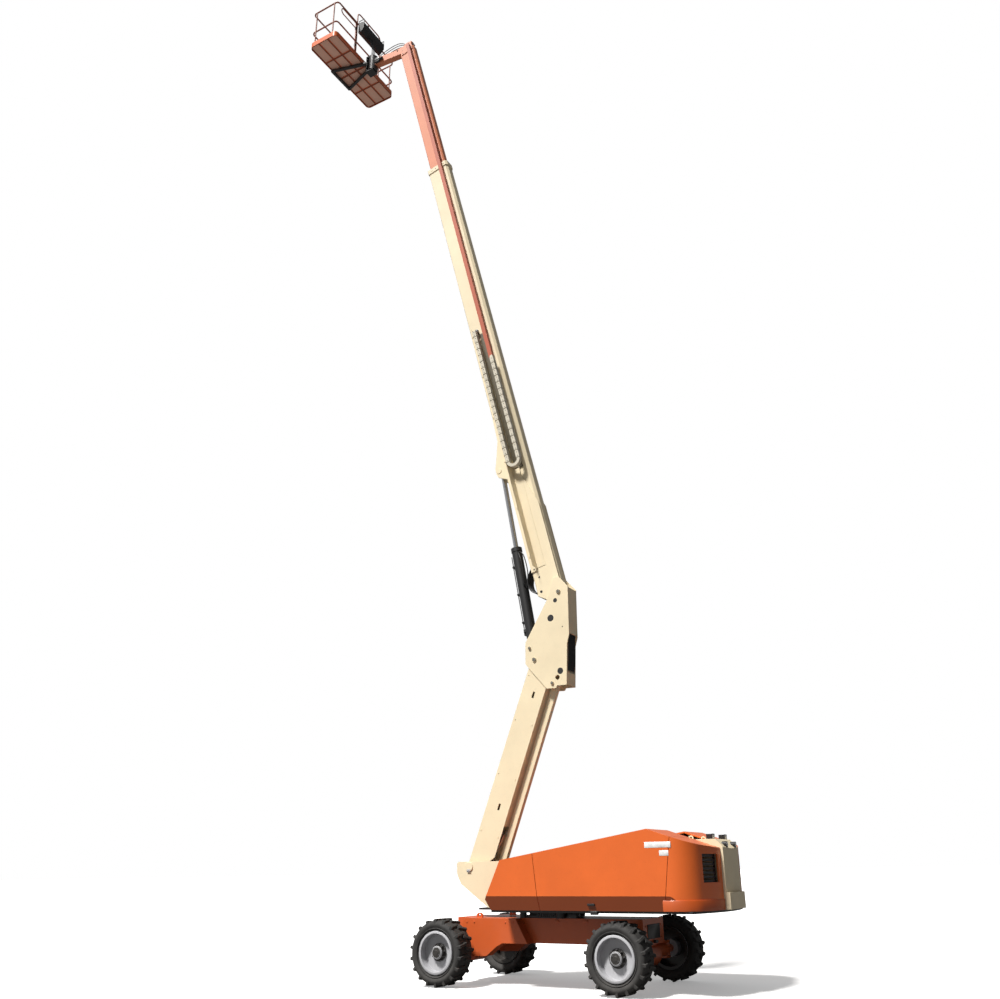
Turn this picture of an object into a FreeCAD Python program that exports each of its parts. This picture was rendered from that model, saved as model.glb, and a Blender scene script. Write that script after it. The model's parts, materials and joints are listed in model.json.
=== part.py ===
import FreeCAD, Part

import math
import os
import re

import Sketcher

# A self-propelled articulating boom lift of the 24 m class, standing on its wheels with the
# tower and the telescopic main boom raised. Millimetres. The origin lies on the ground under
# the swing axis, +Z is up, +X points to the steered axle and the counterweight, and the
# platform reaches out towards -X. The side at -Y is called near, the side at +Y far.
#
# Boom pieces are drawn lying level, as when the machine is stowed, about their own hinge pin,
# and each one's Placement then turns it up by its resting angle. An arm's "station" is its
# distance along the arm from that pin; "rise" is the height above the pin when lying level.

SIZES = {
    # the square of the drawing grid that plate outlines are plotted on
    "gridSquare": 100,
    # wheels
    "wheelBase": 3050, "trackWidth": 2070, "tyreRadius": 487, "tyreWidth": 405,
    "treadRadius": 457, "treadWidth": 330, "cheekRadius": 400, "tyreSides": 18,
    "beadRadius": 290, "beadWidth": 320, "beadRise": 26,
    "lugWidth": 44, "lugMiddle": 80, "lugInner": -22, "lugSink": 12, "lugSwing": 3, "lugLean": 11,
    "lugCount": 18, "lugPhase": 3.6,
    "lipRadius": 311, "lipWidth": 20, "rimWall": 19, "discPlace": 40, "discWall": 16,
    "hubRadius": 95, "hubReach": 150, "hubFlange": 130, "hubStep": 19, "hubBack": 120,
    "hubBevel": 15, "boreDepth": 140, "fitGap": 0.05, "softGap": 0.3, "gap": 6,
    # axles and steering
    "spindleRadius": 60, "axleRadius": 95, "diffRadius": 150, "diffWidth": 360,
    "diffDrop": 40,
    "axlePad": 150, "axleFlange": 120, "flangeWall": 40,
    "kingPinPlace": 760, "kingPinRadius": 28, "yokeWall": 30, "yokeInside": 190,
    "yokeLength": 120, "yokeRoot": 640, "knuckleWidth": 110, "armLength": 300,
    "armWall": 30, "armWidth": 60, "rodRadius": 20, "rodPinRadius": 14,
    # chassis
    "frameTop": 960, "spineBottom": 600, "spineWidth": 800, "spineFront": -1640,
    "spineRear": 1640, "frameWidth": 1200, "frameWall": 12,
    "tieSink": 60, "tieWall": 25, "tieHole": 20,
    "bearingRadius": 430, "bearingTop": 1070, "spigotRadius": 120, "spigotDepth": 70,
    # turntable
    "deckWall": 30, "deckFront": -560, "deckWidth": 2240, "tongueFront": -1270,
    "tongueWidth": 690, "tailRadius": 2930, "tailInset": 10,
    "bracketInside": 190, "bracketWall": 25, "bracketTop": 1810,
    "innerWallInside": 330, "innerWall": 20, "innerWallRear": 1845,
    # counterweight
    "weightFront": 1850, "weightTop": 2060, "pocketWidth": 430, "pocketWall": 95,
    "weightBevel": 130, "weightWidth": 700, "weightProud": 40, "footProud": 90,
    "footTop": 1330, "lampPlace": 285, "lampWidth": 120, "lampHeight": 70, "lampDepth": 90,
    # hoods
    "hoodHalfWidth": 1200, "hoodInner": 356, "hoodWall": 25, "hoodNoseX": -631,
    "hoodCreaseZ": 1250, "hoodBrowX": -362, "hoodBrowZ": 1815,
    "hoodRidgeX": 2110, "hoodRidgeZ": 2200, "hoodTailZ": 1905, "hoodTailX": 3000,
    "hoodCorner": 420, "cornerSide": 780, "ventInner": 455, "ventOuter": 860, "ventLow": 1470,
    "ventHigh": 1850, "grilleWall": 12, "grilleSlat": 26,
    "hoodFootX": -545, "bandLean": 14, "seamGap": 8,
    "hingePin": 7, "hingeKnuckle": 14, "hingeLength": 120, "hingeSink": 12,
    "hingeSide": 340, "frontHinge": 500, "rearHinge": 1500,
    "frontSeamTop": 158, "frontSeamFoot": 338, "rearSeamTop": 2500, "rearSeamFoot": 2290,
    "engineFront": 900, "engineRear": 1900, "engineInner": 430, "engineOuter": 1050,
    "engineTop": 1750,
    # tower
    "towerPinX": -1550, "towerPinZ": 1726, "towerLength": 3637, "towerAngle": 68.8,
    "towerWidth": 300, "towerRise": 70, "towerDrop": 380, "towerWall": 10,
    "towerEnd": 70, "towerMouth": 820, "pinRadius": 40, "pinHead": 15, "bossRadius": 72,
    "slotLength": 110, "slotWidth": 42, "slotLow": 1083, "slotHigh": 3050, "slotRise": -178,
    "linkPinX": 346, "linkPinZ": -449, "linkWidth": 90, "linkDepth": 120,
    "smallPin": 28,
    # tower cylinders
    "towerRamPinX": 30, "towerRamPinZ": -340, "towerRamStation": 700, "towerRamRise": -300,
    "towerRamSpread": 93, "towerRamBarrel": 42, "towerRamRod": 25, "towerRamBody": 520,
    "towerRamRodLength": 560,
    "eyeRadius": 42, "eyeWidth": 70,
    # upright
    "uprightInside": 310, "uprightWall": 15, "webWall": 16, "ledgeDepth": 60, "holeRadius": 42,
    # main lift cylinder
    "liftPinX": -89, "liftPinZ": 212, "liftStation": 2855, "liftRise": -554,
    "liftBarrel": 97, "liftRod": 45, "liftBody": 2000, "liftEye": 75, "liftEyeWidth": 120,
    # main boom
    "boomPinX": 517, "boomPinZ": 1168, "boomAngle": 76, "boomNose": 11290, "boomTail": 110,
    "boomTop": 83, "boomDrop": 427, "boomWidth": 260, "boomBevel": 46, "boomWall": 8,
    "cheekWall": 20, "collarLength": 130, "collarWall": 16,
    "flyEnd": 15900, "flyTail": 5400, "flyTop": 32, "flyDrop": 376, "flyWidth": 200,
    "flyBevel": 33, "flyWall": 6,
    # hose carrier
    "trayFront": 6150, "trayRear": 600, "trayWall": 6, "trayBack": -120,
    "tubeSize": 84, "tubeRise": -62, "tubeTailEnd": 5366, "tubeNoseEnd": 15700, "tubeStand": 28,
    "tubeWall": 5,
    "chainTop": -245, "chainLow": -12, "chainThick": 62, "chainWidth": 82, "chainFixed": 6073,
    "chainMoving": 5330, "chainBend": 2686, "chainStand": 122, "linkPitch": 165, "linkGap": 28,
    "linkProud": 8, "bendSides": 24,
    # nose and platform
    "nosePinStation": 15850, "nosePinRise": -127, "noseArmLength": 1190, "noseArmWidth": 150,
    "noseArmTop": 170, "noseArmDrop": 40, "noseCheek": 14,
    "crankX": 92, "crankZ": 118, "crankSlot": 60, "crankPin": 14,
    "rotatorRadius": 125, "rotatorTop": 300, "rotatorDrop": 150, "rotatorPin": 45,
    "levelStation": 15100, "levelRise": -77, "levelBody": 500, "levelBarrel": 42,
    "levelRod": 22, "levelRodLength": 530, "levelEye": 35, "levelPin": 20,
    "bracketPlate": 30, "bracketHalf": 110, "supportBar": 60, "supportSpread": 376,
    "platformFloor": 163, "platformX": -1903, "platformLength": 2434, "platformDepth": 881,
    "platformCorner": 110, "toeHeight": 150, "toeWall": 5, "floorWall": 6, "floorBar": 30,
    "railHeight": 1217, "railTube": 20, "postTube": 17, "midRail": 520, "railInset": 26,
    "railBend": 84, "hoopHeight": 1583, "hoopWidth": 960, "hoopBend": 120,
    "gateInset": 167, "gateWidth": 602, "gateGap": 48, "gateTube": 14, "gateHigh": 1143,
    "gateLow": 963, "gatePin": 8, "gateFoot": 180, "lugWall": 12,
    "consoleInset": 30, "consoleWidth": 870, "consoleTop": 1205, "consoleFoot": 860,
    "consoleDepth": 190,
}

document = FreeCAD.newDocument("boomLift")
size = document.addObject("Spreadsheet::Sheet", "size")
for row, (word, value) in enumerate(SIZES.items(), start=1):
    size.set(f"A{row}", word)
    size.set(f"B{row}", str(value))
    size.setAlias(f"B{row}", word)
document.recompute()

NODES = []
WORD = re.compile(r"[A-Za-z][A-Za-z]+")


def formula(text):
    """Turn the plain names of sizes in an expression into references to the sheet's cells.

    A bare number is a place on the drawing grid of the free plate outlines, in hundredths of
    the grid's square."""
    if isinstance(text, (int, float)):
        return f"{text} / 100 * size.gridSquare"
    return WORD.sub(lambda found: "size." + found.group(0) if found.group(0) in SIZES
                    else found.group(0), str(text))


def bind(item, **bonds):
    """Bind properties to expressions; a double underscore in a name stands for a dot."""
    for name, text in bonds.items():
        item.setExpression(name.replace("__", "."), formula(text))
    return item


def place(item, x="0", y="0", z="0", axis=None, turn=None):
    """Give an item its Placement: a turn about an axis through its own origin, then a shift."""
    if axis is not None:
        item.Placement = FreeCAD.Placement(FreeCAD.Vector(), FreeCAD.Rotation(axis, 10))
        bind(item, Placement__Rotation__Angle=turn)
    return bind(item, Placement__Base__x=x, Placement__Base__y=y, Placement__Base__z=z)


ALONG_X, ALONG_Y, ALONG_Z = (FreeCAD.Vector(*v) for v in ((1, 0, 0), (0, 1, 0), (0, 0, 1)))


def box(x, y, z):
    """A block between three pairs of limits."""
    item = document.addObject("Part::Box", "block")
    bind(item, Length=f"({x[1]}) - ({x[0]})", Width=f"({y[1]}) - ({y[0]})",
         Height=f"({z[1]}) - ({z[0]})")
    return place(item, x[0], y[0], z[0])


def round_bar(axis, low, high, radius, x="0", y="0", z="0"):
    """A cylinder along X, Y or Z between two limits, its axis through the other two places."""
    item = document.addObject("Part::Cylinder", "bar")
    bind(item, Radius=radius, Height=f"({high}) - ({low})")
    if axis == "X":
        return place(item, low, y, z, ALONG_Y, "90")
    if axis == "Y":
        return place(item, x, high, z, ALONG_X, "90")
    return place(item, x, y, low)


def outline(body, plane_role, points):
    """A closed sketch whose corners are all held by expressions, on one of a body's planes."""
    sketch = body.newObject("Sketcher::SketchObject", "outline")
    plane = next(f for f in body.Origin.OriginFeatures if f.Role == plane_role)
    sketch.AttachmentSupport = [(plane, "")]
    sketch.MapMode = "FlatFace"
    count = len(points)
    start = [FreeCAD.Vector(math.cos(2 * math.pi * i / count), math.sin(2 * math.pi * i / count))
             for i in range(count)]
    for i in range(count):
        sketch.addGeometry(Part.LineSegment(start[i], start[(i + 1) % count]), False)
    for i in range(count):
        sketch.addConstraint(Sketcher.Constraint("Coincident", i, 2, (i + 1) % count, 1))
    for i, corner in enumerate(points):
        for kind, text, value in zip(("DistanceX", "DistanceY"), corner, (start[i].x, start[i].y)):
            held = sketch.addConstraint(Sketcher.Constraint(kind, -1, 1, i, 1, value))
            sketch.setExpression(f"Constraints[{held}]", formula(text))
    return sketch


def slab(points, y):
    """A plate with an outline in X and Z, between two limits in Y."""
    body = document.addObject("PartDesign::Body", "slab")
    pad = body.newObject("PartDesign::Pad", "pad")
    pad.Profile = outline(body, "XZ_Plane", points)
    bind(pad, Length=f"({y[1]}) - ({y[0]})")
    return place(body, "0", y[1], "0")


def sheet_slab(points, z):
    """A plate with an outline in X and Y, between two limits in Z."""
    body = document.addObject("PartDesign::Body", "slab")
    pad = body.newObject("PartDesign::Pad", "pad")
    pad.Profile = outline(body, "XY_Plane", points)
    bind(pad, Length=f"({z[1]}) - ({z[0]})")
    return place(body, "0", "0", z[0])


def beam(points, x):
    """A bar with a section in Y and Z, between two limits in X."""
    body = document.addObject("PartDesign::Body", "beam")
    pad = body.newObject("PartDesign::Pad", "pad")
    pad.Profile = outline(body, "YZ_Plane", points)
    bind(pad, Length=f"({x[1]}) - ({x[0]})")
    return place(body, x[0], "0", "0")


def turned(points):
    """A solid of revolution about Y from an outline of (distance along Y, radius) corners."""
    body = document.addObject("PartDesign::Body", "turning")
    sketch = outline(body, "YZ_Plane", points)
    spun = body.newObject("PartDesign::Revolution", "spun")
    spun.Profile = sketch
    spun.ReferenceAxis = (sketch, ["H_Axis"])
    spun.Angle = 360
    return body


def fused(items):
    if len(items) == 1:
        return items[0]
    item = document.addObject("Part::MultiFuse", "joined")
    item.Shapes = items
    item.Refine = True
    return item


def shared(items):
    item = document.addObject("Part::MultiCommon", "overlap")
    item.Shapes = items
    item.Refine = True
    return item


def minus(base, tools):
    item = document.addObject("Part::Cut", "pared")
    item.Base = base
    item.Tool = fused(tools)
    item.Refine = True
    return item


def moved(items, x, y, z, axis, turn):
    """Items drawn about the origin, turned about an axis through it and then shifted."""
    item = document.addObject("Part::Compound", "moved")
    item.Links = items
    return place(item, x, y, z, axis, turn)


def twin(item):
    """The mirror image of an item on the other side of the plane Y = 0."""
    copy = document.addObject("Part::Mirroring", "twin")
    copy.Source = item
    copy.Normal = ALONG_Y
    return copy


def node(label, solids, cuts=(), x="0", y="0", z="0", axis=None, turn=None):
    """Join solids, take the cuts away, and keep the result as one named sub-part."""
    item = fused(list(solids))
    if cuts:
        item = minus(item, list(cuts))
    if len(solids) == 1 and not cuts:
        item = document.addObject("Part::Compound", "whole")
        item.Links = list(solids)
    item.Label = label
    place(item, x, y, z, axis, turn)
    NODES.append(item)
    return item


BOTH = ("near", "far")
SIGN = {"near": "-1", "far": "1"}


# ---------------------------------------------------------------- places of the arms' pins
TOWER_TOP_X = "(towerPinX + towerLength * cos(towerAngle))"
TOWER_TOP_Z = "(towerPinZ + towerLength * sin(towerAngle))"
BOOM_X = f"({TOWER_TOP_X} + boomPinX)"
BOOM_Z = f"({TOWER_TOP_Z} + boomPinZ)"


def on_boom(station, rise):
    """World X and Z of a point given by its station and rise on the raised main boom."""
    return (f"({BOOM_X} - ({station}) * cos(boomAngle) + ({rise}) * sin(boomAngle))",
            f"({BOOM_Z} + ({station}) * sin(boomAngle) + ({rise}) * cos(boomAngle))")


def on_tower(station, rise):
    """World X and Z of a point given by its station and rise on the raised tower."""
    return (f"(towerPinX + ({station}) * cos(towerAngle) - ({rise}) * sin(towerAngle))",
            f"(towerPinZ + ({station}) * sin(towerAngle) + ({rise}) * cos(towerAngle))")


NOSE_X, NOSE_Z = on_boom("nosePinStation", "nosePinRise")


# ------------------------------------------------------------------------------- wheels
def faceted(stations, sides, reach):
    """A flat-sided barrel about Y, what is shared by bars turned through the same small angle.
    Its half section is given as (distance along Y, flat radius) pairs."""
    points = [(y, f"-({radius})") for y, radius in stations] + stations[::-1]
    bar = beam(points, (f"-({reach})", reach))
    return shared([moved([bar], "0", "0", "0", ALONG_Y, f"{i} * 360 / {SIZES[sides]}")
                   for i in range(SIZES[sides] // 2)])


def tyre():
    """A tyre with two rows of slanted bar lugs, half a pitch apart."""
    half, cheek, tread = "beadWidth / 2", "tyreWidth / 2", "treadWidth / 2"
    seat = "beadRadius + beadRise"
    body = faceted([(f"-{cheek}", "cheekRadius"), (f"-{tread}", "treadRadius"),
                    (tread, "treadRadius"), (cheek, "cheekRadius")],
                   "tyreSides", "tyreRadius")
    bore = faceted([(f"-{cheek} - gap", "beadRadius"), (f"{cheek} + gap", "beadRadius")],
                   "tyreSides", "tyreRadius")
    dish = faceted([(half, seat), (cheek, "cheekRadius - 3 * gap"),
                    (f"{cheek} + gap", "cheekRadius - 3 * gap")], "tyreSides", "tyreRadius")
    foot, tip = "treadRadius - lugSink", "tyreRadius - lugSwing"
    section = [("lugInner", foot), ("lugInner", tip), (f"{cheek} - gap * 2", tip),
               (f"{cheek} - gap", f"{seat} + 2 * lugWidth"), (f"{tread} - gap", foot)]
    bar = beam([(f"{y} - lugMiddle", z) for y, z in section], ("-lugWidth / 2", "lugWidth / 2"))
    bar = moved([bar], "0", "lugMiddle", "0", ALONG_Z, "lugLean")
    lugs = [moved([row], "0", "0", "0", ALONG_Y, f"{phase} + {i} * 360 / {SIZES['lugCount']}")
            for row, phase in ((bar, "lugPhase"), (twin(bar), "-lugPhase"))
            for i in range(SIZES["lugCount"])]
    return minus(fused([body] + lugs), [bore, dish, twin(dish)])


def wheel_nodes():
    rubber = tyre()
    half = "beadWidth / 2"
    lip = f"{half} + softGap"
    seat = "beadRadius - softGap"
    inner = "beadRadius - rimWall"
    disc_out = "discPlace + discWall"
    rim_points = [("-hubBack", "spindleRadius + fitGap"),
                  ("boreDepth - hubBack", "spindleRadius + fitGap"),
                  ("boreDepth - hubBack", "0"), ("hubReach", "0"),
                  ("hubReach", "hubRadius - hubBevel"), ("hubReach - hubBevel", "hubRadius"),
                  (f"{disc_out} + hubStep", "hubRadius"), (f"{disc_out} + hubStep", "hubFlange"),
                  (disc_out, "hubFlange"), (disc_out, inner),
                  (f"{lip} + lipWidth", inner), (f"{lip} + lipWidth", "lipRadius"),
                  (lip, "lipRadius"), (lip, seat), (f"-{half} - softGap", seat),
                  (f"-{half} - softGap", "lipRadius"),
                  (f"-{half} - softGap - lipWidth", "lipRadius"),
                  (f"-{half} - softGap - lipWidth", inner), ("discPlace", inner),
                  ("discPlace", "hubFlange"), ("-hubBack", "hubFlange")]
    for end, along in (("drive", "-wheelBase / 2"), ("steer", "wheelBase / 2")):
        for side in BOTH:
            where = dict(x=along, y=f"{SIGN[side]} * trackWidth / 2", z="tyreRadius",
                         axis=ALONG_Z, turn="180" if side == "near" else "0")
            node(f"tyre_{end}_{side}", [rubber], **where)
            node(f"rim_{end}_{side}", [turned(rim_points)], **where)


# ------------------------------------------------------------------------------- axles
SPINDLE_END = "trackWidth / 2 - hubBack + boreDepth - softGap"
HUB_FACE = "trackWidth / 2 - hubBack - gap"


def drive_axle():
    x, z = "-wheelBase / 2", "tyreRadius"
    tube = round_bar("Y", f"-({HUB_FACE})", HUB_FACE, "axleRadius", x=x, z=z)
    spindle = round_bar("Y", f"-({SPINDLE_END})", SPINDLE_END, "spindleRadius", x=x, z=z)
    bulge = round_bar("Y", "-diffWidth / 2", "diffWidth / 2", "diffRadius", x=x,
                      z=f"{z} - diffDrop")
    pads = box((f"{x} - axlePad / 2", f"{x} + axlePad / 2"),
               ("-spineWidth / 2", "spineWidth / 2"), (z, "spineBottom"))
    flange = [round_bar("Y", low, high, "axleFlange", x=x, z=z) for low, high in
              ((f"-({HUB_FACE})", f"-({HUB_FACE}) + flangeWall"),
               (f"{HUB_FACE} - flangeWall", HUB_FACE))]
    node("drive_axle", [tube, spindle, bulge, pads] + flange)


def steer_axle():
    x, z = "wheelBase / 2", "tyreRadius"
    tube = round_bar("Y", "-yokeRoot", "yokeRoot", "axleRadius", x=x, z=z)
    bulge = round_bar("Y", "-diffWidth / 2", "diffWidth / 2", "diffRadius", x=x,
                      z=f"{z} - diffDrop")
    pivot = box((f"{x} - axlePad / 2", f"{x} + axlePad / 2"), ("-axlePad", "axlePad"),
                (z, "spineBottom"))
    parts = [tube, bulge, pivot]
    for sign in ("-1", "1"):
        ends = (f"{sign} * yokeRoot", f"{sign} * kingPinPlace")
        y = ends if sign == "1" else ends[::-1]
        half = "yokeInside / 2"
        for low, high in ((f"{z} + {half}", f"{z} + {half} + yokeWall"),
                          (f"{z} - {half} - yokeWall", f"{z} - {half}")):
            parts.append(box((f"{x} - yokeLength / 2", f"{x} + yokeLength / 2"), y, (low, high)))
            parts.append(round_bar("Z", low, high, "yokeLength / 2", x=x,
                                   y=f"{sign} * kingPinPlace"))
        root = (f"{sign} * yokeRoot", f"{sign} * (yokeRoot - yokeWall)")
        parts.append(box((f"{x} - yokeLength / 2", f"{x} + yokeLength / 2"),
                         root[::-1] if sign == "1" else root,
                         (f"{z} - {half} - yokeWall", f"{z} + {half} + yokeWall")))
        parts.append(round_bar("Z", f"{z} - {half} - yokeWall", f"{z} + {half} + yokeWall",
                               "kingPinRadius", x=x, y=f"{sign} * kingPinPlace"))
    node("steer_axle", parts)


def knuckles():
    x, z = "wheelBase / 2", "tyreRadius"
    half = "(yokeInside / 2 - gap)"
    for side in BOTH:
        sign = SIGN[side]

        def across(low, high):
            limits = (f"{sign} * ({low})", f"{sign} * ({high})")
            return limits if side == "far" else limits[::-1]

        hub = round_bar("Z", f"{z} - {half}", f"{z} + {half}", "knuckleWidth / 2",
                        x=x, y=f"{sign} * kingPinPlace")
        neck = round_bar("Y", *across("kingPinPlace", HUB_FACE), "knuckleWidth / 2", x=x, z=z)
        spindle = round_bar("Y", *across("kingPinPlace", SPINDLE_END), "spindleRadius", x=x, z=z)
        arm = box((f"{x} - armLength - armWidth / 2", x),
                  across("kingPinPlace - armWidth / 2", "kingPinPlace + armWidth / 2"),
                  (f"{z} - armWall / 2", f"{z} + armWall / 2"))
        king_bore = round_bar("Z", f"{z} - yokeInside", f"{z} + yokeInside",
                              "kingPinRadius + fitGap", x=x, y=f"{sign} * kingPinPlace")
        rod_bore = round_bar("Z", f"{z} - armWall", f"{z} + armWall", "rodPinRadius + fitGap",
                             x=f"{x} - armLength", y=f"{sign} * kingPinPlace")
        node(f"knuckle_{side}", [hub, neck, spindle, arm], [king_bore, rod_bore])


def tie_rod():
    x = "wheelBase / 2 - armLength"
    low = "tyreRadius - armWall / 2 - gap - 2 * rodRadius"
    bar = round_bar("Y", "-kingPinPlace - rodRadius", "kingPinPlace + rodRadius", "rodRadius",
                    x=x, z=f"{low} + rodRadius")
    pins = [round_bar("Z", f"{low} + rodRadius", "tyreRadius + armWall / 2 + gap", "rodPinRadius",
                      x=x, y=f"{sign} * kingPinPlace") for sign in ("-1", "1")]
    node("tie_rod", [bar] + pins)


# ------------------------------------------------------------------------------- chassis
def chassis():
    spine = box(("spineFront", "spineRear"), ("-spineWidth / 2", "spineWidth / 2"),
                ("spineBottom", "frameTop"))
    hollow = box(("spineFront + frameWall", "spineRear - frameWall"),
                 ("-spineWidth / 2 + frameWall", "spineWidth / 2 - frameWall"),
                 ("spineBottom + frameWall", "frameTop - frameWall"))
    shoulder_points = [(-1426, 480), (-1426, 900), (-1370, "frameTop"), (-435, "frameTop"),
                       (-225, "spineBottom"), (-680, "spineBottom"), (-800, 540), (-970, 412),
                       (-1300, 400)]
    side = "frameWidth / 2"
    near = slab(shoulder_points, (f"-{side}", "-spineWidth / 2"))
    lug = slab([(-1190, "frameTop"), (-1190, 1010), (-1160, 1035), (-1110, 1035),
                (-1080, 1010), (-1080, "frameTop")], (f"-{side} + tieSink",
                                                      f"-{side} + tieSink + tieWall"))
    lug_hole = round_bar("Y", f"-{side}", f"-{side} + 3 * tieSink", "tieHole",
                         x="-11.35 * gridSquare", z="10 * gridSquare")
    shoulder = minus(fused([near, lug]), [lug_hole])
    node("chassis_frame", [minus(spine, [hollow]), shoulder, twin(shoulder)])


def swing_bearing():
    ring = round_bar("Z", "frameTop", "bearingTop - softGap", "bearingRadius")
    bore = round_bar("Z", "bearingTop - spigotDepth - gap", "bearingTop", "spigotRadius + fitGap")
    node("swing_bearing", [ring], [bore])


# ------------------------------------------------------------------------------- turntable
DECK_TOP = "(bearingTop + deckWall)"


ROOF_SLOPE = "atan2(hoodRidgeZ - hoodBrowZ; hoodRidgeX - hoodBrowX)"
HINGES = ("frontHinge", "rearHinge")


def on_roof(items, x):
    """Items drawn about the near door's hinge line, moved to a place along the sloping roof."""
    return moved(items, x, "-hingeSide",
                 f"hoodBrowZ + (({x}) - hoodBrowX) * tan({ROOF_SLOPE}) - hingeSink",
                 -ALONG_Y, ROOF_SLOPE)


def turntable():
    plate = shared([box(("deckFront", "tailRadius"), ("-deckWidth / 2", "deckWidth / 2"),
                        ("bearingTop", DECK_TOP)),
                    round_bar("Z", "bearingTop - deckWall", f"{DECK_TOP} + deckWall",
                              "tailRadius - tailInset")])
    tongue = box(("tongueFront", "deckFront"), ("-tongueWidth / 2", "tongueWidth / 2"),
                 ("bearingTop", DECK_TOP))
    spigot = round_bar("Z", "bearingTop - spigotDepth", "bearingTop", "spigotRadius")
    wall_points = [("deckFront", DECK_TOP), ("hoodBrowX + hoodWall", "hoodBrowZ - 2 * hoodWall"),
                   ("innerWallRear", "hoodRidgeZ - 4 * hoodWall"), ("innerWallRear", DECK_TOP)]
    wall = slab(wall_points, ("-innerWallInside - innerWall", "-innerWallInside"))
    lugs = []
    for x in HINGES:
        end = "hingeLength / 2 + gap"
        parts = [round_bar("X", f"-({end}) - deckWall", f"{end} + deckWall", "hingePin")]
        parts += [box(span, ("-10", "10"), ("-120", "hingePin + 3")) for span in
                  ((f"-({end}) - deckWall", f"-({end})"), (end, f"{end} + deckWall"))]
        lugs.append(on_roof([fused(parts)], x))
    lugs = fused(lugs)
    node("turntable", [plate, tongue, spigot, wall, twin(wall), lugs, twin(lugs)])


def tower_bracket():
    points = [(-1797, "bracketTop - 30"), (-1770, "bracketTop"), (-620, "bracketTop"),
              (-620, DECK_TOP), (-1180, DECK_TOP), (-1712, 1460), (-1790, 1600)]
    low, high = "-bracketInside - bracketWall", "-bracketInside"
    plate = slab(points, (low, high))
    boss = round_bar("Y", f"{low} - pinHead", low, "bossRadius", x="towerPinX", z="towerPinZ")
    link_x, link_z = "towerPinX + linkPinX", "towerPinZ + linkPinZ"
    cheek = fused([plate, boss])
    reach = "bracketInside + bracketWall + pinHead"
    pin = round_bar("Y", f"-{reach}", reach, "pinRadius", x="towerPinX", z="towerPinZ")
    reach = "bracketInside"
    link_pin = round_bar("Y", f"-{reach}", reach, "smallPin", x=link_x, z=link_z)
    ram_pin = round_bar("Y", f"-{reach}", reach, "smallPin", x="towerPinX + towerRamPinX",
                        z="towerPinZ + towerRamPinZ")
    front = box(("-1790", "-1770"), (f"-{reach}", reach), ("1600", "bracketTop - 30"))
    node("tower_bracket", [cheek, twin(cheek), pin, link_pin, ram_pin, front])


def counterweight():
    tail = "tailRadius + weightProud"
    points = [("weightFront", DECK_TOP), ("weightFront", "weightTop"),
              (f"{tail} - weightBevel", "weightTop"), (tail, "weightTop - weightBevel"),
              (tail, DECK_TOP)]
    block = slab(points, ("-weightWidth / 2", "weightWidth / 2"))
    round_tail = round_bar("Z", "bearingTop", "weightTop + deckWall", tail)
    pocket = box(("weightFront - gap", "tailRadius - pocketWall"),
                 ("-pocketWidth / 2", "pocketWidth / 2"),
                 (f"{DECK_TOP} - deckWall", "weightTop + deckWall"))
    heel = "tailRadius + footProud"
    foot = shared([slab([("tailRadius", DECK_TOP), (f"{heel} - gap * 4", DECK_TOP),
                         (heel, "footTop"), ("tailRadius", "footTop")],
                        ("-weightWidth / 2", "weightWidth / 2")),
                   round_bar("Z", "bearingTop", "weightTop", heel)])
    node("counterweight", [shared([block, round_tail]), foot], [pocket])
    lamps = [box(("tailRadius - weightBevel - lampDepth", "tailRadius - weightBevel"),
                 (f"{sign} * lampPlace - lampWidth / 2", f"{sign} * lampPlace + lampWidth / 2"),
                 ("weightTop", "weightTop + lampHeight")) for sign in ("-1", "1")]
    node("tail_lamps", lamps)


# ------------------------------------------------------------------------------- hoods
def hood_blank(inset):
    """The near hood's outer form, or with an inset the hollow inside it."""
    points = [(f"hoodFootX + ({inset})", DECK_TOP),
              (f"hoodNoseX + 1.05 * ({inset})", "hoodCreaseZ"),
              (f"hoodBrowX + 0.8 * ({inset})", f"hoodBrowZ - ({inset})"),
              ("hoodRidgeX", f"hoodRidgeZ - ({inset})"),
              ("hoodTailX", f"hoodTailZ - ({inset})"), ("hoodTailX", DECK_TOP)]
    block = slab(points, (f"-hoodHalfWidth + ({inset})", "-hoodInner"))
    along = "sqrt((tailRadius - hoodCorner) ^ 2 - cornerSide ^ 2)"
    plan = fused([box(("hoodNoseX - hoodWall", along),
                      (f"-hoodHalfWidth + ({inset})", "-hoodInner"),
                      ("bearingTop", "hoodRidgeZ + hoodWall")),
                  round_bar("Z", "bearingTop", "hoodRidgeZ + hoodWall",
                            f"hoodCorner - ({inset})", x=along, y="-cornerSide"),
                  sheet_slab([(along, "-cornerSide"), (f"1.3 * {along}", "-1.3 * cornerSide"),
                              (f"1.3 * {along}", "-hoodInner"), (along, "-hoodInner")],
                             ("bearingTop", "hoodRidgeZ + hoodWall"))])
    tail = round_bar("Z", "bearingTop", "hoodRidgeZ + hoodWall", f"tailRadius - ({inset})")
    band = moved([box(("-hoodWall", "hoodTailX - hoodNoseX"), ("-hoodWall * 8", "0"),
                      ("-hoodCreaseZ", "0"))],
                 "hoodNoseX", f"-hoodHalfWidth + ({inset})", "hoodCreaseZ + 50",
                 ALONG_X, "bandLean")
    return minus(shared([block, plan, tail]), [band])


def between_seams(low_top, low_foot, high_top, high_foot):
    z_foot, z_top = f"{DECK_TOP} - 200", "hoodRidgeZ + 200"
    points = [(low_foot, z_foot), (low_top, z_top), (high_top, z_top), (high_foot, z_foot)]
    return slab(points, ("-hoodHalfWidth - hoodWall", "0"))


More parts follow.
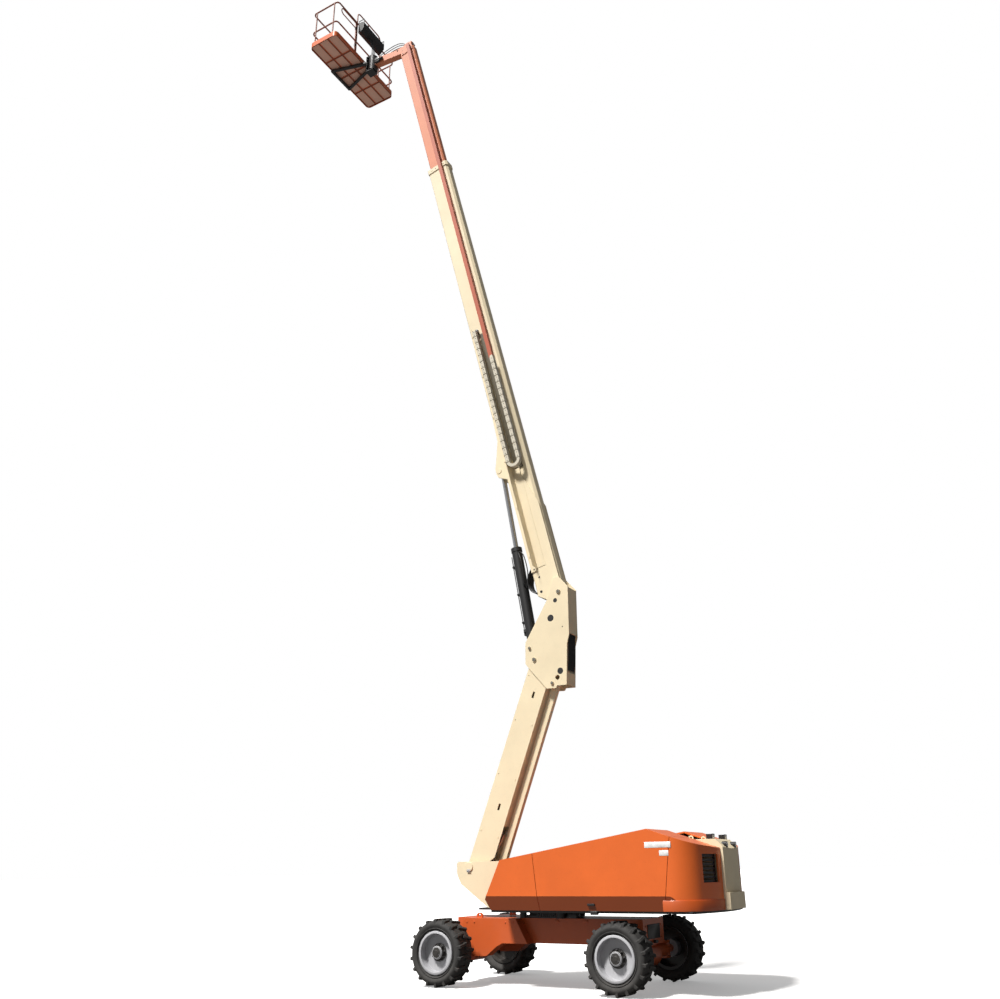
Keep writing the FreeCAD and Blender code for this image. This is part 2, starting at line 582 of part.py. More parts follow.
def hoods():
    shell = minus(hood_blank("0"), [hood_blank("hoodWall")])
    half = "seamGap / 2"
    pieces = {
        "hood_front": between_seams("hoodNoseX - 99", "hoodNoseX - 99",
                                    f"frontSeamTop - {half}", f"frontSeamFoot - {half}"),
        "hood_door": between_seams(f"frontSeamTop + {half}", f"frontSeamFoot + {half}",
                                   f"rearSeamTop - {half}", f"rearSeamFoot - {half}"),
        "hood_rear": between_seams(f"rearSeamTop + {half}", f"rearSeamFoot + {half}",
                                   "hoodTailX + 99", "hoodTailX + 99"),
    }
    half = "hingeLength / 2"
    knuckles, bores = [], []
    for x in HINGES:
        knuckle = fused([round_bar("X", f"-{half}", half, "hingeKnuckle"),
                         box((f"-{half}", half), ("-hingeSink * 3", "0"),
                             ("-hingeSink", "hingeSink - 2"))])
        knuckles.append(on_roof([knuckle], x))
        bores.append(on_roof([round_bar("X", f"-{half} - gap", f"{half} + gap",
                                        "hingePin + fitGap")], x))
    for name, region in pieces.items():
        piece = shared([shell, region])
        if name == "hood_door":
            piece = minus(fused([piece] + knuckles), bores)
        if name == "hood_rear":
            vent = box(("cornerSide", "hoodTailX"), ("-ventOuter", "-ventInner"),
                       ("ventLow", "ventHigh"))
            piece = minus(piece, [vent])
        node(f"{name}_near", [piece])
        node(f"{name}_far", [twin(piece)])


def grilles():
    """A slatted panel a little inside each rear hood's vent, on a foot from the deck."""
    back, high = "tailRadius - 2 * hoodWall", "ventHigh + hoodWall"
    shell = minus(round_bar("Z", DECK_TOP, high, back),
                  [round_bar("Z", f"{DECK_TOP} - gap", f"{high} + gap", f"{back} - grilleWall")])
    x = ("cornerSide", "hoodTailX")
    panel = fused([box(x, ("-ventOuter", "-ventInner"), ("ventLow - hoodWall", high)),
                   box(x, ("-ventInner - 2 * hoodWall", "-ventInner"), (DECK_TOP, "ventLow"))])
    slots = [box(x, ("-ventOuter + hoodWall", "-ventInner - hoodWall"),
                 (f"ventLow + {share} * (ventHigh - ventLow)",
                  f"ventLow + {share} * (ventHigh - ventLow) + grilleSlat"))
             for share in (0.08, 0.23, 0.38, 0.53, 0.68, 0.83)]
    near = minus(shared([shell, panel]), slots)
    node("grille_near", [near])
    node("grille_far", [twin(near)])


def engine():
    node("engine", [box(("engineFront", "engineRear"), ("-engineOuter", "-engineInner"),
                        (DECK_TOP, "engineTop"))])


# ------------------------------------------------------------------------------- tower
def tower():
    end = "towerLength + towerEnd"
    side_points = [("-70", "towerRise"), (end, "towerRise"), (end, "-towerRise"),
                   ("towerLength - 80", "-towerDrop"), ("300", "-towerDrop"),
                   ("-70", "-towerRise * 1.4")]
    side = slab(side_points, ("-towerWidth / 2", "-towerWidth / 2 + towerWall"))
    inside = ("-towerWidth / 2 + towerWall", "towerWidth / 2 - towerWall")
    top = box(("-70", end), inside, ("towerRise - towerWall", "towerRise"))
    floor = box(("towerMouth", "towerLength - 80"), inside,
                ("-towerDrop", "-towerDrop + towerWall"))
    boss = [round_bar("Y", "-towerWidth / 2", "towerWidth / 2", "bossRadius * 0.85", x=x)
            for x in ("0", "towerLength")]
    bores = [round_bar("Y", "-towerWidth", "towerWidth", "pinRadius + fitGap", x=x)
             for x in ("0", "towerLength")]
    slots = [box((f"{x} - slotLength / 2", f"{x} + slotLength / 2"),
                 ("-towerWidth", "towerWidth"),
                 ("slotRise - slotWidth / 2", "slotRise + slotWidth / 2"))
             for x in ("slotLow", "slotHigh")]
    node("tower_boom", [side, twin(side), top, floor] + boss, bores + slots,
         x="towerPinX", z="towerPinZ", axis=-ALONG_Y, turn="towerAngle")


def tower_link():
    bar = box(("0", "towerLength"), ("-linkWidth / 2", "linkWidth / 2"),
              ("-linkDepth / 2", "linkDepth / 2"))
    ends = [round_bar("Y", "-linkWidth / 2", "linkWidth / 2", "linkDepth / 2", x=x)
            for x in ("0", "towerLength")]
    bores = [round_bar("Y", "-linkWidth", "linkWidth", "smallPin + fitGap", x=x)
             for x in ("0", "towerLength")]
    node("tower_link", [bar] + ends, bores, x="towerPinX + linkPinX", z="towerPinZ + linkPinZ",
         axis=-ALONG_Y, turn="towerAngle")


def ram_angle(start, finish):
    """The angle above +X of the line from one point to another, both as (x, z) expressions."""
    return f"atan2(({finish[1]}) - ({start[1]}); ({finish[0]}) - ({start[0]}))"


def tower_cylinders():
    start = ("(towerPinX + towerRamPinX)", "(towerPinZ + towerRamPinZ)")
    finish = on_tower("towerRamStation", "towerRamRise")
    turn = ram_angle(start, finish)
    barrels, bores, rods, rod_bores = [], [], [], []
    for sign in ("-1", "1"):
        y = f"{sign} * towerRamSpread"
        low, high = f"{y} - eyeWidth / 2", f"{y} + eyeWidth / 2"
        barrels += [round_bar("X", "eyeRadius * 0.8", "towerRamBody", "towerRamBarrel", y=y),
                    round_bar("Y", low, high, "eyeRadius")]
        bores += [round_bar("Y", f"{low} - gap", f"{high} + gap", "smallPin + fitGap"),
                  round_bar("X", "eyeRadius * 2", "towerRamBody + gap", "towerRamRod + fitGap",
                            y=y)]
        rods += [round_bar("X", "-towerRamRodLength", "-eyeRadius * 0.8", "towerRamRod", y=y),
                 round_bar("Y", low, high, "eyeRadius")]
        rod_bores.append(round_bar("Y", f"{low} - gap", f"{high} + gap", "smallPin + gap"))
    node("tower_barrels", barrels, bores, x=start[0], z=start[1], axis=-ALONG_Y, turn=turn)
    node("tower_rods", rods, rod_bores, x=finish[0], z=finish[1], axis=-ALONG_Y, turn=turn)


# ------------------------------------------------------------------------------- upright
def upright():
    points = [(705, 1241), (700, 367), (655, 215), (622, -505), (440, -500), (414, -542),
              (230, -533), (-100, -162), (-180, -57), (-177, 320), (-143, 372), (274, 1035),
              (420, 1440), (520, 1450)]
    low, high = "-uprightInside / 2 - uprightWall", "-uprightInside / 2"
    plate = slab(points, (low, high))
    holes = [round_bar("Y", "-uprightInside", "0", f"{r / 100} * gridSquare",
                       x=f"{x / 100} * gridSquare", z=f"{z / 100} * gridSquare")
             for x, z, r in ((344, 705, 42), (446, 1017, 20), (575, 520, 12))]
    cheek = minus(plate, holes)
    inside = ("-uprightInside / 2", "uprightInside / 2")
    back = slab([(703, 1225), (698, 400), (683, 400), (688, 1225)], inside)
    shelf = box(("6.98 * gridSquare - ledgeDepth", "6.9 * gridSquare"), inside,
                ("4 * gridSquare", "4 * gridSquare + webWall"))
    foot = slab([(655, 215), (623, -490), (607, -490), (639, 215)], inside)
    see_through = round_bar("Y", "-uprightInside", "uprightInside", "holeRadius",
                            x="4.5 * gridSquare", z="-3.6 * gridSquare")
    reach = "uprightInside / 2 + uprightWall + pinHead"
    pins = [round_bar("Y", f"-({reach})", reach, radius, x=x, z=z) for x, z, radius in
            (("0", "0", "pinRadius"), ("boomPinX", "boomPinZ", "pinRadius"),
             ("liftPinX", "liftPinZ", "smallPin"), ("linkPinX", "linkPinZ", "smallPin"))]
    node("upright", [minus(cheek, [see_through]), minus(twin(cheek), [see_through]), back,
                     shelf, foot] + pins,
         x=TOWER_TOP_X, z=TOWER_TOP_Z)


def lift_cylinder():
    start = (f"({TOWER_TOP_X} + liftPinX)", f"({TOWER_TOP_Z} + liftPinZ)")
    finish = on_boom("liftStation", "liftRise")
    turn = ram_angle(start, finish)
    width = ("-liftEyeWidth / 2", "liftEyeWidth / 2")
    barrel = [round_bar("X", "liftEye * 0.6", "liftBody", "liftBarrel"),
              round_bar("X", "liftBody - 70", "liftBody + 10", "liftBarrel + 8"),
              round_bar("Y", *width, "liftEye")]
    bores = [round_bar("Y", "-liftBarrel * 2", "liftBarrel * 2", "smallPin + fitGap"),
             round_bar("X", "liftEye * 2", "liftBody + 50", "liftRod + fitGap")]
    node("lift_barrel", barrel, bores, x=start[0], z=start[1], axis=-ALONG_Y, turn=turn)
    rod = [round_bar("X", "-liftBody", "-liftEye * 0.6", "liftRod"),
           round_bar("Y", *width, "liftEye")]
    bore = round_bar("Y", "-liftBarrel * 2", "liftBarrel * 2", "smallPin + gap")
    node("lift_rod", rod, [bore], x=finish[0], z=finish[1], axis=-ALONG_Y, turn=turn)


# ------------------------------------------------------------------------------- main boom
def boom_tube(width, top, drop, bevel, wall, station):
    """A hollow bent-plate section with bevelled edges, lying along -X between two stations."""
    def ring(inset):
        half = f"({width} / 2 - ({inset}))"
        high, low = f"({top} - ({inset}))", f"(-{drop} + ({inset}))"
        cut = f"({bevel} - 0.58 * ({inset}))"
        return [(f"{half} - {cut}", high), (f"-{half} + {cut}", high),
                (f"-{half}", f"{high} - {cut}"), (f"-{half}", f"{low} + {cut} / 3"),
                (f"-{half} + {cut} / 3", low), (f"{half} - {cut} / 3", low),
                (half, f"{low} + {cut} / 3"), (half, f"{high} - {cut}")]
    span = (f"-({station[1]})", f"-({station[0]})")
    longer = (f"-({station[1]}) - 50", f"-({station[0]}) + 50")
    return beam(ring("0"), span), beam(ring(wall), longer)


def base_boom():
    outer, inner = boom_tube("boomWidth", "boomTop", "boomDrop", "boomBevel", "boomWall",
                             ("-boomTail", "boomNose"))
    half = "boomWidth / 2"
    tail_trim = slab([(200, -90), (200, -600), (-200, -600), (-90, -427), (62, -240)],
                     (f"-{half} - cheekWall", f"{half} + cheekWall"))
    cheek_points = [("boomTail - 30", "boomTop - 10"), (-1860, "boomTop - 5"), (-2640, -150),
                    (-2640, -190), (-600, -270), (-90, -420), (62, -240),
                    ("boomTail - 5", -100)]
    cheek = slab(cheek_points, (f"-{half} - cheekWall", f"-{half}"))
    gusset = slab([(-560, -300), (-560, -427), (-2600, -427), (-2720, -600), (-2800, -625),
                   (-2930, -625), (-3012, -590), (-3214, -521), (-3492, -429), (-4000, -415),
                   (-4000, -330)],
                  (f"-{half} - cheekWall", f"-{half}"))
    boss = round_bar("Y", f"-{half} - cheekWall - 8", f"-{half}", "liftEye * 0.75",
                     x="-liftStation", z="liftRise")
    collar_outer, collar_inner = boom_tube(
        "(boomWidth + 2 * collarWall)", "(boomTop + collarWall)", "(boomDrop + collarWall)",
        "boomBevel", "collarWall", ("boomNose - collarLength", "boomNose"))
    bore = round_bar("Y", "-boomWidth", "boomWidth", "pinRadius + fitGap")
    pads = []
    for z in (("flyTop + softGap", "boomTop"), ("-boomDrop", "-flyDrop - softGap")):
        pads.append(box(("-boomNose", "-boomNose + collarLength"),
                        ("-flyWidth / 2 + flyBevel", "flyWidth / 2 - flyBevel"), z))
    side_pad = box(("-boomNose", "-boomNose + collarLength"),
                   (f"-{half}", "-flyWidth / 2 - softGap"),
                   ("-flyDrop + 2 * flyBevel", "flyTop - 2 * flyBevel"))
    pin_tube = round_bar("Y", f"-{half}", half, "bossRadius * 0.85")
    tube = minus(outer, [inner, tail_trim])
    collar = minus(collar_outer, [collar_inner])
    node("base_boom", [tube, collar, cheek, twin(cheek), gusset, twin(gusset), boss, twin(boss),
                       side_pad, twin(side_pad), pin_tube] + pads, [bore],
         x=BOOM_X, z=BOOM_Z, axis=ALONG_Y, turn="boomAngle")


def track_tray():
    side = "-boomWidth / 2 - cheekWall"
    shelf = "chainTop - chainThick / 2 - linkProud - softGap"
    x = ("-trayFront", "-trayRear")
    back = box(x, (f"{side} - trayWall", side), (f"{shelf} - trayWall", "trayBack"))
    lower = box(x, ("-boomWidth / 2 - chainStand - chainWidth - linkProud", side),
                (f"{shelf} - trayWall", shelf))
    feet = [box((f"-trayFront + {share} * (trayFront - trayRear)",
                 f"-trayFront + {share} * (trayFront - trayRear) + 60"),
                (side, "-boomWidth / 2"), (shelf, "trayBack - 20"))
            for share in (0.02, 0.2, 0.4)]
    node("track_tray", [back, lower] + feet, x=BOOM_X, z=BOOM_Z, axis=ALONG_Y, turn="boomAngle")


def power_track():
    """The hose carrier's chain: a fixed run, a half-round bend and the run that follows the fly,
    each a core with link plates fused around it."""
    side = "-boomWidth / 2"
    y = (f"{side} - chainStand - chainWidth", f"{side} - chainStand")
    middle = "((chainTop + chainLow) / 2)"
    radius = "((chainLow - chainTop) / 2)"
    thick = "chainThick / 2"
    bend_x = f"(-chainBend - {radius} - {thick})"
    fixed = box(("-chainFixed", bend_x), y, (f"chainTop - {thick}", f"chainTop + {thick}"))
    moving = box(("-chainMoving", bend_x), y, (f"chainLow - {thick}", f"chainLow + {thick}"))
    outside, inside = f"{radius} + {thick}", f"{radius} - {thick}"
    ring = minus(faceted([(y[0], outside), (y[1], outside)], "bendSides", "boomDrop"),
                 [faceted([(f"{y[0]} - gap", inside), (f"{y[1]} + gap", inside)],
                          "bendSides", "boomDrop")])
    ring = moved([ring], bend_x, "0", middle, ALONG_Y, "0")
    half_room = box((f"{bend_x} - 0.01", "0"), (f"{y[0]} - gap", f"{y[1]} + gap"),
                    ("-boomDrop * 2", "boomDrop"))
    plate = box(("linkGap - linkPitch", "0"), (f"{y[0]} - linkProud", f"{y[1]} + linkProud"),
                (f"-{thick} - linkProud", f"{thick} + linkProud"))
    links = []
    for run, z in (("chainFixed", "chainTop"), ("chainMoving", "chainLow")):
        count = int((SIZES[run] - SIZES["chainBend"] - SIZES["chainThick"]) / SIZES["linkPitch"])
        links += [moved([plate], f"{bend_x} - {i} * linkPitch", "0", z, ALONG_Y, "0")
                  for i in range(count)]
    node("power_track", [fixed, moving, shared([ring, half_room])] + links,
         x=BOOM_X, z=BOOM_Z, axis=ALONG_Y, turn="boomAngle")


def fly_boom():
    outer, inner = boom_tube("flyWidth", "flyTop", "flyDrop", "flyBevel", "flyWall",
                             ("flyTail", "flyEnd - 150"))
    half = "flyWidth / 2"
    ear = slab([("-flyEnd + 280", "flyTop - flyBevel"), ("-flyEnd + 60", "flyTop - flyBevel"),
                ("-flyEnd - 30", "nosePinRise + 60"), ("-flyEnd - 30", "nosePinRise - 60"),
                ("-flyEnd + 150", "-flyDrop + flyBevel"), ("-flyEnd + 280", "-flyDrop + flyBevel")],
               (f"-{half} - noseCheek", f"-{half}"))
    pads = [box(("-flyTail - 150", "-flyTail"),
                ("-flyWidth / 2 + flyBevel", "flyWidth / 2 - flyBevel"), z) for z in
            (("flyTop", "boomTop - boomWall - softGap"),
             ("-boomDrop + boomWall + softGap", "-flyDrop"))]
    pin = round_bar("Y", f"-{half} - noseCheek - pinHead", f"{half} + noseCheek + pinHead",
                    "smallPin", x="-nosePinStation", z="nosePinRise")
    level_pin = round_bar("Y", f"-{half}", half, "levelPin", x="-levelStation", z="levelRise")
    node("fly_boom", [minus(outer, [inner]), ear, twin(ear), pin, level_pin] + pads,
         x=BOOM_X, z=BOOM_Z, axis=ALONG_Y, turn="boomAngle")


def push_tube():
    side = "(-boomWidth / 2 - tubeStand)"
    y = (f"{side} - tubeSize", side)
    z = ("tubeRise - tubeSize / 2", "tubeRise + tubeSize / 2")
    bore = box(("-tubeNoseEnd - gap", "-tubeTailEnd + gap"),
               (f"{y[0]} + tubeWall", f"{y[1]} - tubeWall"),
               (f"{z[0]} + tubeWall", f"{z[1]} - tubeWall"))
    tube = minus(box(("-tubeNoseEnd", "-tubeTailEnd"), y, z), [bore])
    foot = box(("-tubeNoseEnd", "-tubeNoseEnd + 80"), (side, "-flyWidth / 2 - noseCheek"), z)
    node("push_tube", [tube, foot], x=BOOM_X, z=BOOM_Z, axis=ALONG_Y, turn="boomAngle")


# ------------------------------------------------------------------------------- nose
AT_NOSE = dict(x=NOSE_X, z=NOSE_Z)


def nose_arm():
    half = "noseArmWidth / 2"
    reach = "-noseArmLength + rotatorRadius - 10"
    arm = slab([("60", "-50"), ("62", "30"), ("crankX + 30", "crankZ - 30"),
                ("crankX + 30", "crankZ - 6"), ("crankX", "crankZ + 22"),
                ("crankX - 30", "crankZ + 22"), ("-30", "85"), ("-450", "75"),
                (reach, "noseArmTop"), (reach, "-noseArmDrop"), ("-263", "-134"),
                ("-130", "-120")], (f"-{half}", half))
    drum = round_bar("Z", "-rotatorDrop", "rotatorTop", "rotatorRadius", x="-noseArmLength")
    room = round_bar("Z", "-rotatorDrop", "rotatorTop", "rotatorRadius", x="-noseArmLength")
    bore = round_bar("Y", "-noseArmWidth", "noseArmWidth", "smallPin + fitGap")
    slot = box(("crankX - 60", "crankX + 99"), ("-crankSlot / 2", "crankSlot / 2"),
               ("crankZ - 88", "crankZ + 99"))
    node("nose_arm", [minus(arm, [bore, slot, room])], **AT_NOSE)
    shaft = round_bar("Z", "-rotatorDrop - gap", "rotatorTop + gap", "rotatorPin + fitGap",
                      x="-noseArmLength")
    node("rotator", [drum], [shaft], **AT_NOSE)


def level_cylinder():
    start = on_boom("levelStation", "levelRise")
    finish = (f"({NOSE_X} + crankX)", f"({NOSE_Z} + crankZ)")
    turn = ram_angle(start, finish)
    width = ("-crankSlot / 2 + 5", "crankSlot / 2 - 5")
    barrel = [round_bar("X", "levelEye * 0.6", "levelBody", "levelBarrel"),
              round_bar("Y", *width, "levelEye")]
    bores = [round_bar("Y", "-levelBarrel * 2", "levelBarrel * 2", "levelPin + fitGap"),
             round_bar("X", "levelEye * 2", "levelBody + 50", "levelRod + fitGap")]
    node("level_barrel", barrel, bores, x=start[0], z=start[1], axis=-ALONG_Y, turn=turn)
    rod = [round_bar("X", "-levelRodLength", "-levelEye * 0.6", "levelRod"),
           round_bar("Y", *width, "levelEye * 0.8")]
    bore = round_bar("Y", "-levelBarrel * 2", "levelBarrel * 2", "crankPin + gap")
    node("level_rod", rod, [bore], x=finish[0], z=finish[1], axis=-ALONG_Y, turn=turn)


# ------------------------------------------------------------------------------- platform
EDGE_IN = "(platformX + platformDepth / 2)"
EDGE_OUT = "(platformX - platformDepth / 2)"
HALF = "(platformLength / 2)"
FLOOR = "(platformFloor + floorBar + floorWall)"
GATE_FREE = f"(gateInset - {HALF})"
GATE_AXIS = f"({GATE_FREE} + gateWidth)"
HOOP_START = f"({GATE_AXIS} + gateGap)"
HOOP_END = f"({HOOP_START} + hoopWidth)"
IN_PLAN = FreeCAD.Rotation()
IN_SIDE = FreeCAD.Rotation(FreeCAD.Vector(1, 1, 1), 120)


def bend(x, y, z, major, minor, turn, sweep=90):
    """A piece of round tube bent through an arc."""
    item = document.addObject("Part::Torus", "bend")
    item.Angle3 = sweep
    bind(item, Radius1=major, Radius2=minor)
    item.Placement = FreeCAD.Placement(FreeCAD.Vector(), turn)
    return place(item, x, y, z)


def quarter(number, upright=False):
    """The turn that starts a bend on the given quarter of its circle, in plan or upright."""
    axis, plane = (ALONG_X, IN_SIDE) if upright else (ALONG_Z, IN_PLAN)
    return FreeCAD.Rotation(axis, 90 * number) * plane


def rounded_block(inset, z):
    """The platform's rectangle with round corners, between two heights."""
    x = (f"{EDGE_OUT} + ({inset})", f"{EDGE_IN} - ({inset})")
    y = (f"-{HALF} + ({inset})", f"{HALF} - ({inset})")
    corner = "platformCorner"
    near_x = (f"{EDGE_OUT} + {corner}", f"{EDGE_IN} - {corner}")
    near_y = (f"-{HALF} + {corner}", f"{HALF} - {corner}")
    posts = [round_bar("Z", *z, f"{corner} - ({inset})", x=px, y=py)
             for px in near_x for py in near_y]
    return fused([box(near_x, y, z), box(x, near_y, z)] + posts)


def platform_frame():
    axis = "-noseArmLength"
    high, low = "rotatorTop + gap", "-rotatorDrop - gap"
    back = f"{axis} - rotatorRadius - gap * 2"
    half = "bracketHalf"
    plates = [box((f"{back} - bracketPlate", f"{axis} + 60"), (f"-{half}", half), z) for z in
              ((high, f"{high} + bracketPlate"), (f"{low} - bracketPlate", low))]
    web = box((f"{back} - bracketPlate", back), (f"-{half}", half),
              (f"{low} - bracketPlate", f"{high} + bracketPlate"))
    pin = round_bar("Z", low, high, "rotatorPin", x=axis)
    z = ("platformFloor - supportBar", "platformFloor")
    arm = sheet_slab([(back, f"-{half}"), (back, "-35"),
                      (f"{EDGE_OUT} + supportBar", "-supportSpread + supportBar"),
                      (EDGE_OUT, "-supportSpread + supportBar / 3"),
                      (EDGE_OUT, "-supportSpread"),
                      (f"{EDGE_OUT} + supportBar * 0.6", "-supportSpread - 8")], z)
    bar = box((EDGE_OUT, f"{EDGE_OUT} + supportBar"), ("-supportSpread", "supportSpread"), z)
    node("platform_frame", plates + [web, pin, arm, twin(arm), bar], **AT_NOSE)


def platform_tray():
    z = ("platformFloor", "platformFloor + toeHeight")
    ring = minus(rounded_block("0", z), [rounded_block("toeWall", ("platformFloor - gap",
                                                                   f"{z[1]} + gap"))])
    floor = rounded_block("toeWall / 2", (f"{FLOOR} - floorWall", FLOOR))
    bars = []
    z = ("platformFloor", f"{FLOOR} - floorWall / 2")
    for x in ("-platformDepth / 6", "platformDepth / 6"):
        bars.append(box((f"platformX + {x} - floorBar / 2", f"platformX + {x} + floorBar / 2"),
                        (f"-{HALF} + toeWall / 2", f"{HALF} - toeWall / 2"), z))
    for y in ("-platformLength / 4", "0", "platformLength / 4"):
        bars.append(box((f"{EDGE_OUT} + toeWall / 2", f"{EDGE_IN} - toeWall / 2"),
                        (f"{y} - floorBar / 2", f"{y} + floorBar / 2"), z))
    node("platform_tray", [ring, floor] + bars, **AT_NOSE)


RAIL_IN, RAIL_OUT = f"({EDGE_IN} - railInset)", f"({EDGE_OUT} + railInset)"
RAIL_END = f"({HALF} - railInset)"


def rail_ring(z, open_from=None, open_to=None):
    """A ring of round rail about the platform, whole or open along part of the inner side."""
    parts = [round_bar("X", f"{RAIL_OUT} + railBend", f"{RAIL_IN} - railBend", "railTube",
                       y=y, z=z) for y in (f"-{RAIL_END}", RAIL_END)]
    parts.append(round_bar("Y", f"-{RAIL_END} + railBend", f"{RAIL_END} - railBend", "railTube",
                           x=RAIL_OUT, z=z))
    spans = [(f"-{RAIL_END} + railBend", f"{RAIL_END} - railBend")]
    if open_from:
        spans = [(spans[0][0], open_from), (open_to, spans[0][1])]
    parts += [round_bar("Y", *span, "railTube", x=RAIL_IN, z=z) for span in spans]
    corners = ((f"{RAIL_IN} - railBend", f"{RAIL_END} - railBend"),
               (f"{RAIL_OUT} + railBend", f"{RAIL_END} - railBend"),
               (f"{RAIL_OUT} + railBend", f"-{RAIL_END} + railBend"),
               (f"{RAIL_IN} - railBend", f"-{RAIL_END} + railBend"))
    parts += [bend(x, y, z, "railBend", "railTube", quarter(number))
              for number, (x, y) in enumerate(corners)]
    return parts


def platform_rails():
    top, middle = "platformFloor + railHeight - railTube", "platformFloor + midRail"
    parts = rail_ring(top) + rail_ring(middle, f"{GATE_FREE} - gap", HOOP_START)
    hoop_bar = "platformFloor + hoopHeight"
    corner = "(railBend + 2 * postTube)"
    posts = [(x, y, top) for x in (f"{RAIL_IN} - {corner}", f"{RAIL_OUT} + {corner}")
             for y in (f"-{RAIL_END}", RAIL_END)]
    posts += [(RAIL_OUT, "-platformLength / 6", top), (RAIL_OUT, "platformLength / 6", top),
             (RAIL_IN, HOOP_START, f"{hoop_bar} - hoopBend"),
             (RAIL_IN, HOOP_END, f"{hoop_bar} - hoopBend")]
    parts += [round_bar("Z", FLOOR, height, "postTube", x=x, y=y) for x, y, height in posts]
    parts.append(round_bar("Y", f"{HOOP_START} + hoopBend", f"{HOOP_END} - hoopBend",
                           "postTube", x=RAIL_IN, z=hoop_bar))
    parts += [bend(RAIL_IN, y, f"{hoop_bar} - hoopBend", "hoopBend", "postTube",
                   quarter(number, upright=True))
              for number, y in ((0, f"{HOOP_END} - hoopBend"), (1, f"{HOOP_START} + hoopBend"))]
    foot, head = "platformFloor + gateFoot - gap", "platformFloor + gateHigh + gateTube + 2 * gap"
    for low in (f"{foot} - lugWall", head):
        parts.append(box((f"{RAIL_IN} - postTube", f"{RAIL_IN} + postTube"),
                         (f"{GATE_AXIS} - postTube", HOOP_START), (low, f"{low} + lugWall")))
    parts += [round_bar("Z", *span, "gatePin", x=RAIL_IN, y=GATE_AXIS)
              for span in ((foot, f"{foot} + 36"), (f"{head} - 36", head))]
    node("platform_rails", parts, **AT_NOSE)


def gate():
    foot, high, low, middle = (f"platformFloor + {word}" for word in
                               ("gateFoot", "gateHigh", "gateLow", "midRail"))
    tube, end = "gateTube", f"{GATE_FREE} + gateTube + (gateHigh - gateLow) / 2"
    head = f"{high} + {tube} + gap"
    parts = [round_bar("Z", foot, head, "postTube", x=RAIL_IN, y=GATE_AXIS)]
    parts += [round_bar("Y", end, GATE_AXIS, tube, x=RAIL_IN, z=z) for z in (high, low)]
    parts.append(round_bar("Y", GATE_FREE, GATE_AXIS, "railTube", x=RAIL_IN, z=middle))
    parts.append(bend(RAIL_IN, end, f"({high} + {low}) / 2", "(gateHigh - gateLow) / 2", tube,
                      quarter(1, upright=True), 180))
    bores = [round_bar("Z", low_end, high_end, "gatePin + fitGap", x=RAIL_IN,
                       y=GATE_AXIS)
             for low_end, high_end in ((f"{foot} - gap", f"{foot} + 36"),
                                       (f"{head} - 36", f"{head} + gap"))]
    node("gate", parts, bores, **AT_NOSE)


def control_box():
    x = f"{RAIL_IN} + railTube"
    top, foot = "platformFloor + consoleTop", "platformFloor + consoleFoot"
    body = slab([(x, foot), (x, top), (f"{x} + consoleDepth * 0.6", top),
                 (f"{x} + consoleDepth", f"{top} - 60"),
                 (f"{x} + consoleDepth", f"{foot} + 120"), (f"{x} + 80", foot)],
                (f"{HOOP_START} + consoleInset", f"{HOOP_START} + consoleInset + consoleWidth"))
    node("control_box", [body], **AT_NOSE)


for build in (wheel_nodes, drive_axle, steer_axle, knuckles, tie_rod, chassis, swing_bearing,
              turntable, tower_bracket, counterweight, hoods, grilles, engine, tower, tower_link,
              tower_cylinders, upright, lift_cylinder, base_boom, track_tray, power_track,
              fly_boom, push_tube, nose_arm, level_cylinder, platform_frame, platform_tray,
              platform_rails, gate, control_box):
    build()

document.recompute()

faults = [f"{item.Name} ({item.Label}): {item.State}" for item in document.Objects
          if "Invalid" in item.State or "Error" in item.State]
for item in NODES:
    if item.Shape.isNull() or not item.Shape.isValid() or item.Shape.Volume <= 0:
        faults.append(f"{item.Label}: shape is not valid")
if faults:
    raise RuntimeError("\n".join(faults))

os.makedirs("parts", exist_ok=True)
for item in NODES:
    item.Shape.exportStep(f"parts/{item.Label}.step")
    box_size = item.Shape.BoundBox
    spans = [f"{axis} {low:.0f}..{high:.0f}" for axis, low, high in
             (("x", box_size.XMin, box_size.XMax), ("y", box_size.YMin, box_size.YMax),
              ("z", box_size.ZMin, box_size.ZMax))]
    print(f"{item.Label}: {len(item.Shape.Solids)} solids, {', '.join(spans)}, "
          f"{item.Shape.Volume / 1e6:.1f} litres")
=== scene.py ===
# %% [markdown]
# # Dressing an articulating boom lift
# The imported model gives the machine's frame, booms, hoods and platform as plain solids that
# already move. This lesson lights them, paints them and adds the fittings that make them read
# as a working machine. The first cell loads that frame: from then on every piece is in metres
# and in the machine's own axes, with +Z up, +X towards the counterweight and -Y the near side.

import json
import math

import bmesh
import bpy
from mathutils import Matrix, Vector


